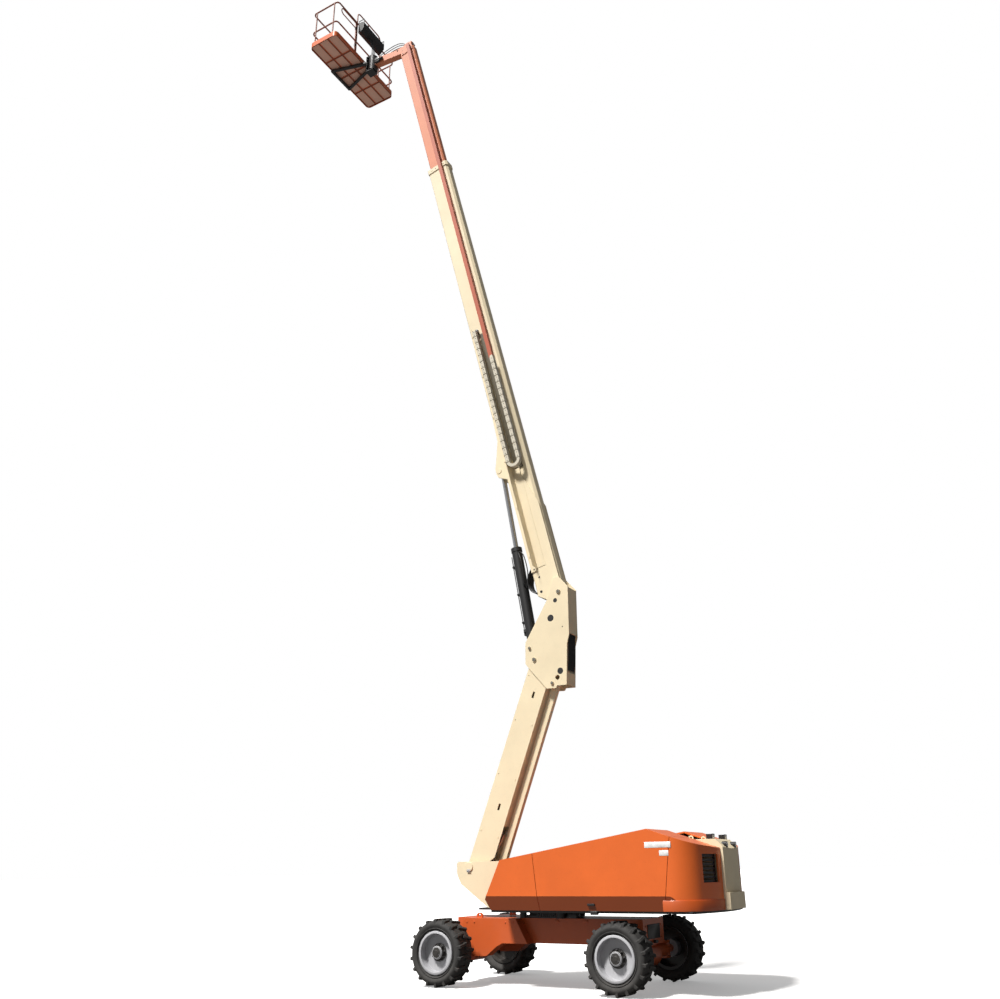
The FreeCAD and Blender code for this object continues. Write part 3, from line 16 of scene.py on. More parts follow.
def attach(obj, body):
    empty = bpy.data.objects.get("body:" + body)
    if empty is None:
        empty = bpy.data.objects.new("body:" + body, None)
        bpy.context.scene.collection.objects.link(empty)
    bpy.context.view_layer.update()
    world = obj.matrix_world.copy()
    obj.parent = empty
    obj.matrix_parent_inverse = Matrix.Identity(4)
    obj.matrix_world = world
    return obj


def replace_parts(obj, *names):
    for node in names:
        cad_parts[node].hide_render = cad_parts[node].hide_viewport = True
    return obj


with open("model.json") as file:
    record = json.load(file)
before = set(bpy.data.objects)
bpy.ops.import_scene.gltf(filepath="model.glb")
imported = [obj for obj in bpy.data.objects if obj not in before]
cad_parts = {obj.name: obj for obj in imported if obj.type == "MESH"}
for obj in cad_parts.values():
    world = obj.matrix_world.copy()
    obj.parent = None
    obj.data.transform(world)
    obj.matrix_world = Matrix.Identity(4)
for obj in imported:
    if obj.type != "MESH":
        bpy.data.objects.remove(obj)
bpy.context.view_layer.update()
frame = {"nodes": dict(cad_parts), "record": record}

# %% [markdown]
# ## A place for every fitting
# The booms stand at an angle, so a fitting on them is easiest to place in the boom's own
# directions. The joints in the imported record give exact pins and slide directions, and a small
# matrix for each arm turns "so far along, so far out" into machine coordinates. That is safer
# than copying measured points, because the fitting follows the model if a size changes.

# %% Directions of the arms
record = frame["record"]
joints = {joint["name"]: joint for joint in record["behaviour"]["joints"]}


def pin(name):
    """Where a joint's pin is, at rest."""
    return Vector(joints[name]["pos_m"])


BOOM_PIN, NOSE_PIN = pin("boom_lift"), pin("platform_level")
TOWER_PIN, TOWER_TOP = pin("tower_lift"), pin("upright_level")
boom_way = Vector(joints["fly_extend"]["axis"]).normalized()
tower_way = (TOWER_TOP - TOWER_PIN).normalized()
lift_way = Vector(joints["lift_rod"]["axis"]).normalized()


def arm_matrix(origin, way):
    """Axes of an arm: x its own direction, y across the machine, z square to both."""
    across = Vector((0, 1, 0))
    rise = way.cross(across).normalized()
    rows = [(way[i], across[i], rise[i], origin[i]) for i in range(3)]
    return Matrix([*rows, (0, 0, 0, 1)])


# The boom is measured as it lies when stowed, with its nose towards -X, so a place that is
# three metres along it has x = -3. The tower and the lift cylinder are measured towards +X.
ON_BOOM = arm_matrix(BOOM_PIN, -boom_way)
ON_TOWER = arm_matrix(TOWER_PIN, tower_way)
ON_LIFT = arm_matrix(pin("lift_barrel"), lift_way)
ON_UPRIGHT = Matrix.Translation(TOWER_TOP)
ON_NOSE = Matrix.Translation(NOSE_PIN)
print("boom leans", round(math.degrees(math.atan2(boom_way.z, -boom_way.x)), 2), "degrees")

# %% [markdown]
# ## Stage, light and camera
# A machine on a plain ground needs only a pale floor, a soft overhead dome and one broad key
# light. The sky is weaker towards the counterweight, and the floor only looks white to the
# camera, so that undersides keep their shade. The key stands in front and a little to the
# left, so that near faces are bright and faces towards the counterweight fall into shade. The
# plain "Standard" view keeps the white studio white. The camera stands low and close to the
# wheels and looks up along the boom, which is what makes the tall boom look so steep.

# %% Stage and light
SKY_STRENGTHS = (0.46, 0.05)  # towards -X and towards +X
FLOOR_SEEN, FLOOR_BOUNCE, FLOOR_GLOW = 0.97, 0.15, 0.30
WHITE = (1.0, 1.0, 1.0, 1.0)
world = bpy.data.worlds.new("soft_sky")
bpy.context.scene.world = world
world.use_nodes = True
world_tree = world.node_tree
sky = world_tree.nodes["Background"]
sky.inputs["Color"].default_value = WHITE
sky_way = world_tree.nodes.new("ShaderNodeTexCoord")
sky_split = world_tree.nodes.new("ShaderNodeSeparateXYZ")
sky_side = world_tree.nodes.new("ShaderNodeMapRange")
sky_side.inputs["From Min"].default_value, sky_side.inputs["From Max"].default_value = -1.0, 1.0
sky_side.inputs["To Min"].default_value, sky_side.inputs["To Max"].default_value = SKY_STRENGTHS
sky_seen = world_tree.nodes.new("ShaderNodeLightPath")
sky_most = world_tree.nodes.new("ShaderNodeMath")
sky_most.operation = "MAXIMUM"
world_tree.links.new(sky_way.outputs["Generated"], sky_split.inputs["Vector"])
world_tree.links.new(sky_split.outputs["X"], sky_side.inputs["Value"])
world_tree.links.new(sky_side.outputs["Result"], sky_most.inputs[0])
world_tree.links.new(sky_seen.outputs["Is Camera Ray"], sky_most.inputs[1])
world_tree.links.new(sky_most.outputs["Value"], sky.inputs["Strength"])
bpy.context.scene.view_settings.view_transform = "Standard"

floor_mesh = bmesh.new()
bmesh.ops.create_circle(floor_mesh, cap_ends=True, segments=96, radius=400.0)
floor_data = bpy.data.meshes.new("pale_floor")
floor_mesh.to_mesh(floor_data)
floor_mesh.free()
floor = bpy.data.objects.new("pale_floor", floor_data)
bpy.context.scene.collection.objects.link(floor)
floor.location.z = -0.002
floor_paint = bpy.data.materials.new("pale_floor")
floor_paint.use_nodes = True
floor_tree = floor_paint.node_tree
floor_shader = floor_tree.nodes["Principled BSDF"]
floor_shader.inputs["Roughness"].default_value = 0.9
floor_seen = floor_tree.nodes.new("ShaderNodeLightPath")
floor_mix = floor_tree.nodes.new("ShaderNodeMix")
floor_mix.data_type = "RGBA"
floor_mix.inputs["A"].default_value = (*(FLOOR_BOUNCE,) * 3, 1.0)
floor_mix.inputs["B"].default_value = (*(FLOOR_SEEN,) * 3, 1.0)
floor_tree.links.new(floor_seen.outputs["Is Camera Ray"], floor_mix.inputs["Factor"])
floor_tree.links.new(floor_mix.outputs["Result"], floor_shader.inputs["Base Color"])
floor_lift = floor_tree.nodes.new("ShaderNodeMath")
floor_lift.operation = "MULTIPLY"
floor_lift.inputs[1].default_value = FLOOR_GLOW
floor_tree.links.new(floor_seen.outputs["Is Camera Ray"], floor_lift.inputs[0])
floor_tree.links.new(floor_lift.outputs["Value"], floor_shader.inputs["Emission Strength"])
floor_shader.inputs["Emission Color"].default_value = WHITE
floor_data.materials.append(floor_paint)


def sun(name, strength, angle, heading, height, colour):
    """A sun that shines from a compass heading (0 is from -Y, 90 from +X) and a height."""
    data = bpy.data.lights.new(name, "SUN")
    data.energy, data.angle, data.color = strength, math.radians(angle), colour
    lamp = bpy.data.objects.new(name, data)
    bpy.context.scene.collection.objects.link(lamp)
    side, up = math.radians(heading), math.radians(height)
    source = Vector((math.sin(side) * math.cos(up), -math.cos(side) * math.cos(up),
                     math.sin(up)))
    lamp.rotation_euler = source.to_track_quat("Z", "Y").to_euler()


sun("key_sun", 5.4, 9.0, -20.0, 56.0, (1.0, 0.98, 0.95))

# %% Camera
camera_data = bpy.data.cameras.new("camera")
camera = bpy.data.objects.new("camera", camera_data)
bpy.context.scene.collection.objects.link(camera)
bpy.context.scene.camera = camera
camera_data.sensor_width = 36.0
camera_data.lens = 33.31
camera_data.shift_x = -0.0176
camera_data.shift_y = 0.0024
camera_data.clip_end = 1000.0
yaw, pitch, roll = 0.5181900, 0.3772318, -0.0144927
forward = Vector((-math.sin(yaw) * math.cos(pitch), math.cos(yaw) * math.cos(pitch),
                  math.sin(pitch)))
right = Vector((math.cos(yaw), math.sin(yaw), 0.0))
up = right.cross(forward)
right, up = (right * math.cos(roll) + up * math.sin(roll),
             up * math.cos(roll) - right * math.sin(roll))
place = Vector((7.5808, -14.3932, 1.6898))
camera.matrix_world = Matrix([(right[i], up[i], -forward[i], place[i]) for i in range(3)]
                             + [(0, 0, 0, 1)])
print("camera", [round(v, 2) for v in place])

# %% [markdown]
# ## Finishes from shared effects
# Paint on a working machine is never one flat colour: it has a slight orange-peel texture,
# dust in broad clouds, and edges where the coat is thinner. Each of these is one small node
# group that many paints share, so it is built once with named inputs and then placed in each
# material with its own values.

# %% Effect groups
def new_group(name, inputs, outputs):
    """A shader group with its sockets, and the nodes that hold them."""
    group = bpy.data.node_groups.new(name, "ShaderNodeTree")
    for label, kind, value in inputs:
        socket = group.interface.new_socket(label, in_out="INPUT", socket_type=kind)
        if value is not None:
            socket.default_value = value
    for label, kind in outputs:
        group.interface.new_socket(label, in_out="OUTPUT", socket_type=kind)
    return group, group.nodes.new("NodeGroupInput"), group.nodes.new("NodeGroupOutput")


def feed(tree, item, inputs):
    """Fill a node's inputs: a socket is linked and any other value is written in."""
    for label, value in inputs.items():
        if isinstance(value, bpy.types.NodeSocket):
            tree.links.new(value, item.inputs[label])
        else:
            item.inputs[label].default_value = value
    return item


def node(tree, kind, **inputs):
    return feed(tree, tree.nodes.new(kind), inputs)


def math_node(tree, operation, first, second, clamp=False):
    """One arithmetic node; its inputs are sockets or plain numbers."""
    item = tree.nodes.new("ShaderNodeMath")
    item.operation, item.use_clamp = operation, clamp
    return feed(tree, item, {0: first, 1: second}).outputs[0]


def build_clouds():
    """Broad soft patches, for dust and for uneven colour."""
    group, given, result = new_group(
        "cloud_mask",
        [("Vector", "NodeSocketVector", None), ("Scale", "NodeSocketFloat", 3.0),
         ("Sharpness", "NodeSocketFloat", 3.0), ("Level", "NodeSocketFloat", 0.5)],
        [("Mask", "NodeSocketFloat")])
    noise = node(group, "ShaderNodeTexNoise", Detail=6.0, Roughness=0.6,
                 Vector=given.outputs["Vector"], Scale=given.outputs["Scale"])
    raised = math_node(group, "SUBTRACT", noise.outputs["Fac"], given.outputs["Level"])
    raised = math_node(group, "MULTIPLY", raised, given.outputs["Sharpness"])
    raised = math_node(group, "ADD", raised, 0.5, clamp=True)
    group.links.new(raised, result.inputs["Mask"])
    return group


def build_ground_dust():
    """A mask that is full at the ground and fades out at a given height, broken by noise."""
    group, given, result = new_group(
        "ground_dust",
        [("Vector", "NodeSocketVector", None), ("Height", "NodeSocketFloat", 1.2),
         ("Strength", "NodeSocketFloat", 0.5)],
        [("Mask", "NodeSocketFloat")])
    split = node(group, "ShaderNodeSeparateXYZ", Vector=given.outputs["Vector"])
    fall = math_node(group, "DIVIDE", split.outputs["Z"], given.outputs["Height"])
    fall = math_node(group, "SUBTRACT", 1.0, fall, clamp=True)
    noise = node(group, "ShaderNodeTexNoise", Scale=4.5, Detail=8.0,
                 Vector=given.outputs["Vector"])
    patchy = math_node(group, "MULTIPLY", noise.outputs["Fac"], 1.6)
    mask = math_node(group, "MULTIPLY", fall, patchy)
    mask = math_node(group, "MULTIPLY", mask, given.outputs["Strength"], clamp=True)
    group.links.new(mask, result.inputs["Mask"])
    return group


def build_soft_edges():
    """Rounded edges in the shading, and a mask that marks where they are."""
    group, given, result = new_group(
        "soft_edges", [("Radius", "NodeSocketFloat", 0.004)],
        [("Normal", "NodeSocketVector"), ("Edge", "NodeSocketFloat")])
    bevel = node(group, "ShaderNodeBevel", Radius=given.outputs["Radius"])
    bevel.samples = 4
    geometry = group.nodes.new("ShaderNodeNewGeometry")
    dot = group.nodes.new("ShaderNodeVectorMath")
    dot.operation = "DOT_PRODUCT"
    group.links.new(bevel.outputs["Normal"], dot.inputs[0])
    group.links.new(geometry.outputs["True Normal"], dot.inputs[1])
    edge = math_node(group, "SUBTRACT", 1.0, dot.outputs["Value"])
    edge = math_node(group, "MULTIPLY", edge, 4.0, clamp=True)
    group.links.new(bevel.outputs["Normal"], result.inputs["Normal"])
    group.links.new(edge, result.inputs["Edge"])
    return group


def build_facing_down():
    """A mask of the faces that lean towards the ground, where the colour gets painted shade."""
    group, given, result = new_group("facing_down", [("Start", "NodeSocketFloat", 0.06)],
                                     [("Mask", "NodeSocketFloat")])
    geometry = group.nodes.new("ShaderNodeNewGeometry")
    split = node(group, "ShaderNodeSeparateXYZ", Vector=geometry.outputs["True Normal"])
    lean = math_node(group, "MULTIPLY", split.outputs["Z"], -1.0)
    lean = math_node(group, "SUBTRACT", lean, given.outputs["Start"])
    mask = math_node(group, "MULTIPLY", lean, 9.0, clamp=True)
    group.links.new(mask, result.inputs["Mask"])
    return group


def build_orange_peel():
    """The fine waviness of sprayed paint, as a height."""
    group, given, result = new_group(
        "orange_peel", [("Vector", "NodeSocketVector", None),
                        ("Scale", "NodeSocketFloat", 160.0)],
        [("Height", "NodeSocketFloat")])
    fine = node(group, "ShaderNodeTexNoise", Detail=2.0, Vector=given.outputs["Vector"],
                Scale=given.outputs["Scale"])
    group.links.new(fine.outputs["Fac"], result.inputs["Height"])
    return group


CLOUDS, GROUND_DUST = build_clouds(), build_ground_dust()
SOFT_EDGES, ORANGE_PEEL = build_soft_edges(), build_orange_peel()
FACING_DOWN = build_facing_down()
print("effect groups", [group.name for group in bpy.data.node_groups])

# %% Material helpers
DUST = (0.42, 0.36, 0.29)


def new_material(name, base, roughness, metallic=0.0, coat=0.0):
    """A material with its shader's plain values set, its tree, shader and position node."""
    material = bpy.data.materials.new(name)
    material.use_nodes = True
    material.diffuse_color = (*base, 1.0)
    tree = material.node_tree
    shader = tree.nodes["Principled BSDF"]
    feed(tree, shader, {"Base Color": (*base, 1.0), "Roughness": roughness,
                        "Metallic": metallic, "Coat Weight": coat, "Coat Roughness": 0.12})
    position = tree.nodes.new("ShaderNodeTexCoord").outputs["Object"]
    return material, tree, shader, position


def effect(tree, group, vector=None, **values):
    """Place a shared effect in a material with its own values."""
    item = tree.nodes.new("ShaderNodeGroup")
    item.node_tree = group
    if vector is not None:
        values["Vector"] = vector
    return feed(tree, item, values)


def mixed(tree, mask, under, over, strength=1.0):
    """A colour that goes from one to another as a mask rises."""
    item = tree.nodes.new("ShaderNodeMix")
    item.data_type = "RGBA"
    if strength != 1.0:
        mask = math_node(tree, "MULTIPLY", mask, strength)
    ends = [(*end, 1.0) if isinstance(end, tuple) else end for end in (under, over)]
    return feed(tree, item, {"Factor": mask, "A": ends[0], "B": ends[1]}).outputs["Result"]


def bumped(tree, shader, height, strength, distance, normal):
    """Feed a height through a Bump node into the shader's normal."""
    bump = node(tree, "ShaderNodeBump", Strength=strength, Distance=distance, Height=height,
                Normal=normal)
    tree.links.new(bump.outputs["Normal"], shader.inputs["Normal"])


def shade(colour, factor):
    return tuple(min(1.0, part * factor) for part in colour)


# %% [markdown]
# ## Paints
# The machine wears a warm cream on booms and counterweight, black on cylinders and brackets,
# pale grey on the rims, and orange. The hoods have the full orange. The darker oranges of the
# skirts, chassis, rails and push tube are their own orange with painted shade in it, and the
# paler orange of the fly boom and nose arm is its own orange with painted sheen in it. One
# function builds them all, because only the colour, gloss, amount of dirt and painted shade differ.

# %% Paints
FADE = 0.12


def paint(name, base, roughness=0.42, coat=0.25, dust=0.35, edge_colour=None, down_shade=0.0):
    material, tree, shader, position = new_material(name, base, roughness, coat=coat)
    patches = effect(tree, CLOUDS, position, Scale=1.3, Sharpness=1.8, Level=0.5)
    colour = mixed(tree, patches.outputs["Mask"], shade(base, 1.0 - FADE),
                   shade(base, 1.0 + FADE * 0.6))
    specks = effect(tree, CLOUDS, position, Scale=38.0, Sharpness=9.0, Level=0.66)
    colour = mixed(tree, specks.outputs["Mask"], colour, shade(base, 0.72), 0.35)
    edges = effect(tree, SOFT_EDGES, Radius=0.006)
    colour = mixed(tree, edges.outputs["Edge"], colour,
                   edge_colour or shade(base, 1.18), 0.45)
    low = effect(tree, GROUND_DUST, position, Height=1.3, Strength=dust)
    colour = mixed(tree, low.outputs["Mask"], colour, DUST)
    # Faces that lean towards the ground darken towards a sixth of the colour: painted shade.
    if down_shade:
        below = effect(tree, FACING_DOWN)
        colour = mixed(tree, below.outputs["Mask"], colour, shade(base, 0.16), down_shade)
    tree.links.new(colour, shader.inputs["Base Color"])
    rough = math_node(tree, "MULTIPLY", low.outputs["Mask"], 0.4)
    rough = math_node(tree, "ADD", rough, roughness, clamp=True)
    tree.links.new(rough, shader.inputs["Roughness"])
    peel = effect(tree, ORANGE_PEEL, position, Scale=150.0)
    bumped(tree, shader, peel.outputs["Height"], 0.06, 0.001, edges.outputs["Normal"])
    return material


CREAM = paint("cream_paint", (0.83, 0.71, 0.49), roughness=0.5, coat=0.0)
ORANGE = paint("orange_paint", (0.75, 0.138, 0.019), dust=0.12, down_shade=0.85)
# The skirts, chassis, rails and push tube take darker oranges than the hoods: their own orange with
# painted shade in it.
SKIRT_ORANGE = paint("skirt_orange_paint", (0.52, 0.088, 0.012), dust=0.12)
CHASSIS_ORANGE = paint("chassis_orange_paint", (0.62, 0.100, 0.014), dust=0.10)
RAIL_ORANGE = paint("rail_orange_paint", (0.34, 0.12, 0.075), roughness=0.5, coat=0.0)
TUBE_ORANGE = paint("tube_orange_paint", (0.46, 0.085, 0.03), roughness=0.5, coat=0.0)
# The fly boom and nose arm take a paler, pinker orange: partly their own paint, partly painted
# sheen from the glossy coat.
PALE_ORANGE = paint("boom_orange_paint", (0.66, 0.215, 0.10), roughness=0.5, coat=0.0)
BLACK = paint("black_paint", (0.012, 0.012, 0.013), roughness=0.48, dust=0.10,
              edge_colour=(0.10, 0.10, 0.10))
RIM_GREY = paint("rim_grey_paint", (0.46, 0.465, 0.49), roughness=0.5, coat=0.0, dust=0.10)

# %% Rubber, chrome, plastic and iron
def rubber():
    material, tree, shader, position = new_material("tyre_rubber", (0.022, 0.022, 0.023), 0.78)
    dusty = effect(tree, GROUND_DUST, position, Height=1.1, Strength=0.14)
    worn = effect(tree, CLOUDS, position, Scale=9.0, Sharpness=2.2, Level=0.5)
    colour = mixed(tree, worn.outputs["Mask"], (0.016, 0.016, 0.017), (0.04, 0.039, 0.038))
    colour = mixed(tree, dusty.outputs["Mask"], colour, (0.20, 0.18, 0.155))
    tree.links.new(colour, shader.inputs["Base Color"])
    grain = effect(tree, ORANGE_PEEL, position, Scale=210.0)
    edges = effect(tree, SOFT_EDGES, Radius=0.006)
    bumped(tree, shader, grain.outputs["Height"], 0.25, 0.002, edges.outputs["Normal"])
    return material


def chrome():
    material, tree, shader, position = new_material("chrome_rod", (0.74, 0.75, 0.77), 0.12, 1.0)
    film = effect(tree, CLOUDS, position, Scale=16.0, Sharpness=2.5, Level=0.55)
    colour = mixed(tree, film.outputs["Mask"], (0.76, 0.77, 0.79), (0.58, 0.58, 0.60))
    tree.links.new(colour, shader.inputs["Base Color"])
    rough = math_node(tree, "MULTIPLY", film.outputs["Mask"], 0.14)
    rough = math_node(tree, "ADD", rough, 0.10)
    tree.links.new(rough, shader.inputs["Roughness"])
    return material


def moulded(name, base, roughness):
    material, tree, shader, position = new_material(name, base, roughness)
    patches = effect(tree, CLOUDS, position, Scale=12.0, Sharpness=2.0, Level=0.5)
    colour = mixed(tree, patches.outputs["Mask"], shade(base, 0.8), shade(base, 1.5))
    tree.links.new(colour, shader.inputs["Base Color"])
    grain = effect(tree, ORANGE_PEEL, position, Scale=320.0)
    edges = effect(tree, SOFT_EDGES, Radius=0.004)
    bumped(tree, shader, grain.outputs["Height"], 0.2, 0.001, edges.outputs["Normal"])
    return material


RUBBER, CHROME = rubber(), chrome()
BLACK_PLASTIC = moulded("black_plastic", (0.012, 0.012, 0.013), 0.55)
HOSE_RUBBER = moulded("hose_rubber", (0.010, 0.010, 0.011), 0.42)
IRON = moulded("engine_iron", (0.06, 0.06, 0.062), 0.7)
WORN_STEEL = paint("worn_steel", (0.20, 0.185, 0.15), roughness=0.5, coat=0.0, dust=0.1)
STEEL = paint("bare_steel", (0.42, 0.42, 0.42), roughness=0.38, coat=0.0, dust=0.3)
CHAIN = paint("zinc_chain", (0.62, 0.57, 0.46), roughness=0.5, coat=0.0, dust=0.2,
              edge_colour=(0.10, 0.09, 0.07))
LABEL = moulded("blank_label", (0.72, 0.72, 0.70), 0.5)
LENS = moulded("lamp_lens", (0.78, 0.76, 0.70), 0.15)
OLIVE = moulded("shaded_mat", (0.075, 0.060, 0.032), 0.7)
RED = moulded("stop_red", (0.55, 0.01, 0.01), 0.35)
FLOOR_MESH = paint("floor_mesh_steel", (0.85, 0.50, 0.37), roughness=0.6, coat=0.0)
print("materials", len(bpy.data.materials))

# %% [markdown]
# ## Small helpers for fittings
# Most fittings are blocks, round bars, turned rings and hoses. Each helper below starts from one
# of Blender's own shapes, puts it in place with a matrix and bevels it, so that no list of
# corners has to be typed in. `fitting` then makes the finished mesh a piece with its material
# that rides on one body of the machine.

# %% Mesh helpers
STRAIGHT = Matrix()


def soften(mesh, verts, width, segments=2):
    """Round every edge of one newly made block."""
    edges = {edge for vert in verts for edge in vert.link_edges}
    bmesh.ops.bevel(mesh, geom=list(edges), offset=width, offset_type="OFFSET",
                    segments=segments, profile=0.5, affect="EDGES", material=-1)


def block(mesh, low, high, at=STRAIGHT, bevel=0.0):
    """A block between two corners given in some part's own directions."""
    low, high = Vector(low), Vector(high)
    shape = at @ Matrix.Translation((low + high) / 2) @ Matrix.Diagonal((*(high - low), 1.0))
    made = bmesh.ops.create_cube(mesh, size=1.0, matrix=shape)["verts"]
    if bevel:
        soften(mesh, made, bevel)


def bar(mesh, start, end, radius, at=STRAIGHT, sides=16, tip=None):
    """A round bar, or with six sides a bolt head, between two points."""
    start, end = at @ Vector(start), at @ Vector(end)
    way = end - start
    shape = Matrix.Translation((start + end) / 2) @ way.to_track_quat("Z", "Y").to_matrix().to_4x4()
    bmesh.ops.create_cone(mesh, cap_ends=True, segments=sides, radius1=radius,
                          radius2=radius if tip is None else tip, depth=way.length, matrix=shape)


def ring(mesh, section, steps=48, at=STRAIGHT, closed=True):
    """Spin a section of (distance along Y, radius) points about the Y axis."""
    made = [mesh.verts.new((0.0, along, radius)) for along, radius in section]
    pairs = list(zip(made, made[1:])) + ([(made[-1], made[0])] if closed else [])
    edges = [mesh.edges.new(pair) for pair in pairs]
    before = set(mesh.verts) - set(made)
    bmesh.ops.spin(mesh, geom=made + edges, cent=(0, 0, 0), axis=(0, 1, 0),
                   angle=math.tau, steps=steps, use_merge=True)
    fresh = [vert for vert in mesh.verts if vert not in before]
    bmesh.ops.remove_doubles(mesh, verts=fresh, dist=1e-6)
    fresh = [vert for vert in mesh.verts if vert not in before]
    bmesh.ops.transform(mesh, matrix=at, verts=fresh)


def bolt(mesh, place, way, size, height, at=STRAIGHT):
    """A washer and a six-sided head that stand on a surface."""
    place, way = Vector(place), Vector(way).normalized()
    bar(mesh, place, place + way * height * 0.25, size * 1.35, at, 14)
    bar(mesh, place, place + way * height, size, at, 6)


def to_data(name, mesh, material, sharp=32.0):
    """Turn a bmesh into mesh data with outward faces and smooth shading between sharp edges."""
    bmesh.ops.recalc_face_normals(mesh, faces=mesh.faces)
    data = bpy.data.meshes.new(name)
    mesh.to_mesh(data)
    mesh.free()
    data.materials.append(material)
    for face in data.polygons:
        face.use_smooth = True
    data.set_sharp_from_angle(angle=math.radians(sharp))
    return data


def ride(name, data, body):
    """Put mesh or curve data in the scene as a piece of one body."""
    item = bpy.data.objects.new(name, data)
    bpy.context.scene.collection.objects.link(item)
    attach(item, body)
    return item


def fitting(name, mesh, material, body, sharp=32.0):
    return ride(name, to_data(name, mesh, material, sharp), body)


def hoses(name, routes, radius, body, at=STRAIGHT):
    """Hydraulic hoses that are held at both ends, each one smooth NURBS line."""
    data = bpy.data.curves.new(name, "CURVE")
    data.dimensions, data.bevel_depth, data.bevel_resolution = "3D", radius, 3
    data.use_fill_caps, data.resolution_u = True, 8
    for route in routes:
        spline = data.splines.new("NURBS")
        spline.points.add(len(route) - 1)
        for point, place in zip(spline.points, route):
            point.co = (*(at @ Vector(place)), 1.0)
        spline.order_u, spline.use_endpoint_u = 3, True
    data.materials.append(HOSE_RUBBER)
    return ride(name, data, body)


print("helpers ready")

# %% [markdown]
# ## Tyres
# The tyres are cross-country tyres, filled with foam, with two rows of thick slanted bars that
# wrap over the shoulder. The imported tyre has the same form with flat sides. Here the carcass is
# spun from a rounded section and the bars are bevelled blocks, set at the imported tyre's spacing
# and slant. One tyre is modelled about its own axle and copied to the four wheels.

# %% Tyres
WHEELS = {f"{end}_{side}": (pin(f"wheel_{end}_{side}"), side == "near")
          for end in ("drive", "steer") for side in ("near", "far")}
LUGS_A_ROW, LUG_PHASE, LUG_LEAN, LUG_MIDDLE = 18, 3.6, 11.0, 0.080


def tyre_lug(mesh, at):
    """One bar: a block that narrows to its tip and runs down over the shoulder."""
    made = bmesh.ops.create_cube(mesh, size=1.0)["verts"]
    for vert in made:
        outer, tip = vert.co.y > 0, vert.co.z > 0
        vert.co.x *= 0.042 if tip else 0.056
        vert.co.y = (0.108 if tip else 0.1165) if outer else -0.102
        vert.co.z = 0.4835 if tip else (0.410 if outer else 0.445)
    bmesh.ops.transform(mesh, matrix=at, verts=made)
    soften(mesh, made, 0.006, 1)


def wheel_matrix(name):
    centre, near = WHEELS[name]
    return Matrix.Translation(centre) @ Matrix.Rotation(math.pi if near else 0.0, 4, "Z")


tyre_mesh = bmesh.new()
half_section = [(0.160, 0.291), (0.160, 0.316), (0.170, 0.330), (0.186, 0.352), (0.198, 0.378),
                (0.2015, 0.395), (0.2015, 0.404), (0.196, 0.420), (0.184, 0.440), (0.168, 0.453),
                (0.140, 0.4585)]
ring(tyre_mesh, half_section + [(-along, radius) for along, radius in reversed(half_section)], 72)
ring(tyre_mesh, [(0.180, 0.340), (0.1945, 0.343), (0.1975, 0.347), (0.1945, 0.351),
                 (0.185, 0.356)], 72)
for number in range(LUGS_A_ROW):
    for row in (1, -1):
        turn = math.radians(row * LUG_PHASE + number * 360.0 / LUGS_A_ROW)
        tyre_lug(tyre_mesh, Matrix.Rotation(turn, 4, "Y") @ Matrix.Diagonal((1, row, 1, 1))
                 @ Matrix.Translation((0, LUG_MIDDLE, 0))
                 @ Matrix.Rotation(math.radians(LUG_LEAN), 4, "Z"))
tyre_data = to_data("tyre", tyre_mesh, RUBBER, 28.0)
for name in WHEELS:
    data = tyre_data.copy()
    data.transform(wheel_matrix(name))
    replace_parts(ride(f"tyre_{name}_dressed", data, f"wheel_{name}"), f"tyre_{name}")
print("tyre faces", len(tyre_data.polygons))

# %% [markdown]
# ## Wheel hubs
# Each hub is a planetary gear case in black, bolted through the pale dish of the rim. The case
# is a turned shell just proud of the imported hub, and a ring of nuts on studs stands around it.

# %% Wheel hubs
HUB_NUTS = 9
hub_mesh, nut_mesh, lip_mesh, back_mesh = (bmesh.new() for _ in range(4))
ring(back_mesh, [(-0.181, 0.2695), (0.018, 0.2695), (0.018, 0.135), (0.014, 0.135),
                 (0.014, 0.2665), (-0.1835, 0.2665), (-0.1835, 0.3115), (-0.181, 0.3115)], 48)
ring(hub_mesh, [(0.0575, 0.0), (0.0575, 0.131), (0.076, 0.131), (0.079, 0.127), (0.079, 0.099),
                (0.132, 0.096), (0.147, 0.084), (0.1515, 0.070), (0.1515, 0.0)], 48, closed=False)
ring(hub_mesh, [(0.151, 0.0), (0.151, 0.036), (0.158, 0.033), (0.158, 0.0)], 24, closed=False)
for number in range(HUB_NUTS):
    turn = Matrix.Rotation(number * math.tau / HUB_NUTS, 4, "Y")
    block(hub_mesh, (-0.008, 0.078, 0.092), (0.008, 0.120, 0.116), turn, 0.002)
    bar(nut_mesh, (0, 0.079, 0.115), (0, 0.093, 0.115), 0.0135, turn, 6)
    bar(nut_mesh, (0, 0.079, 0.115), (0, 0.106, 0.115), 0.0075, turn, 12)
for sign in (1, -1):
    bolt(nut_mesh, (sign * 0.045, 0.151, sign * 0.030), (0, 1, 0), 0.010, 0.008)
ring(lip_mesh, [(0.1805, 0.272), (0.1835, 0.276), (0.1835, 0.304), (0.1805, 0.309)], 72)
bar(lip_mesh, (0, 0.10, 0.268), (0, 0.150, 0.240), 0.005, sides=10)
for part, mesh, material in (("hub_case", hub_mesh, BLACK), ("hub_nuts", nut_mesh, IRON),
                             ("rim_lip", lip_mesh, RIM_GREY), ("rim_back", back_mesh, BLACK)):
    shared_data = to_data(part, mesh, material)
    for name in WHEELS:
        data = shared_data.copy()
        data.transform(wheel_matrix(name))
        ride(f"{part}_{name}", data, f"wheel_{name}")
print("hubs on", len(WHEELS), "wheels")

# %% [markdown]
# ## Chassis
# Around the swing bearing runs the gear that the swing motor drives. The teeth are one block
# turned about the bearing, because each is small and only their rhythm shows. The box chassis
# carries bolts, a cover at each end, small boxes beside the bearing, and hoses to the axles.

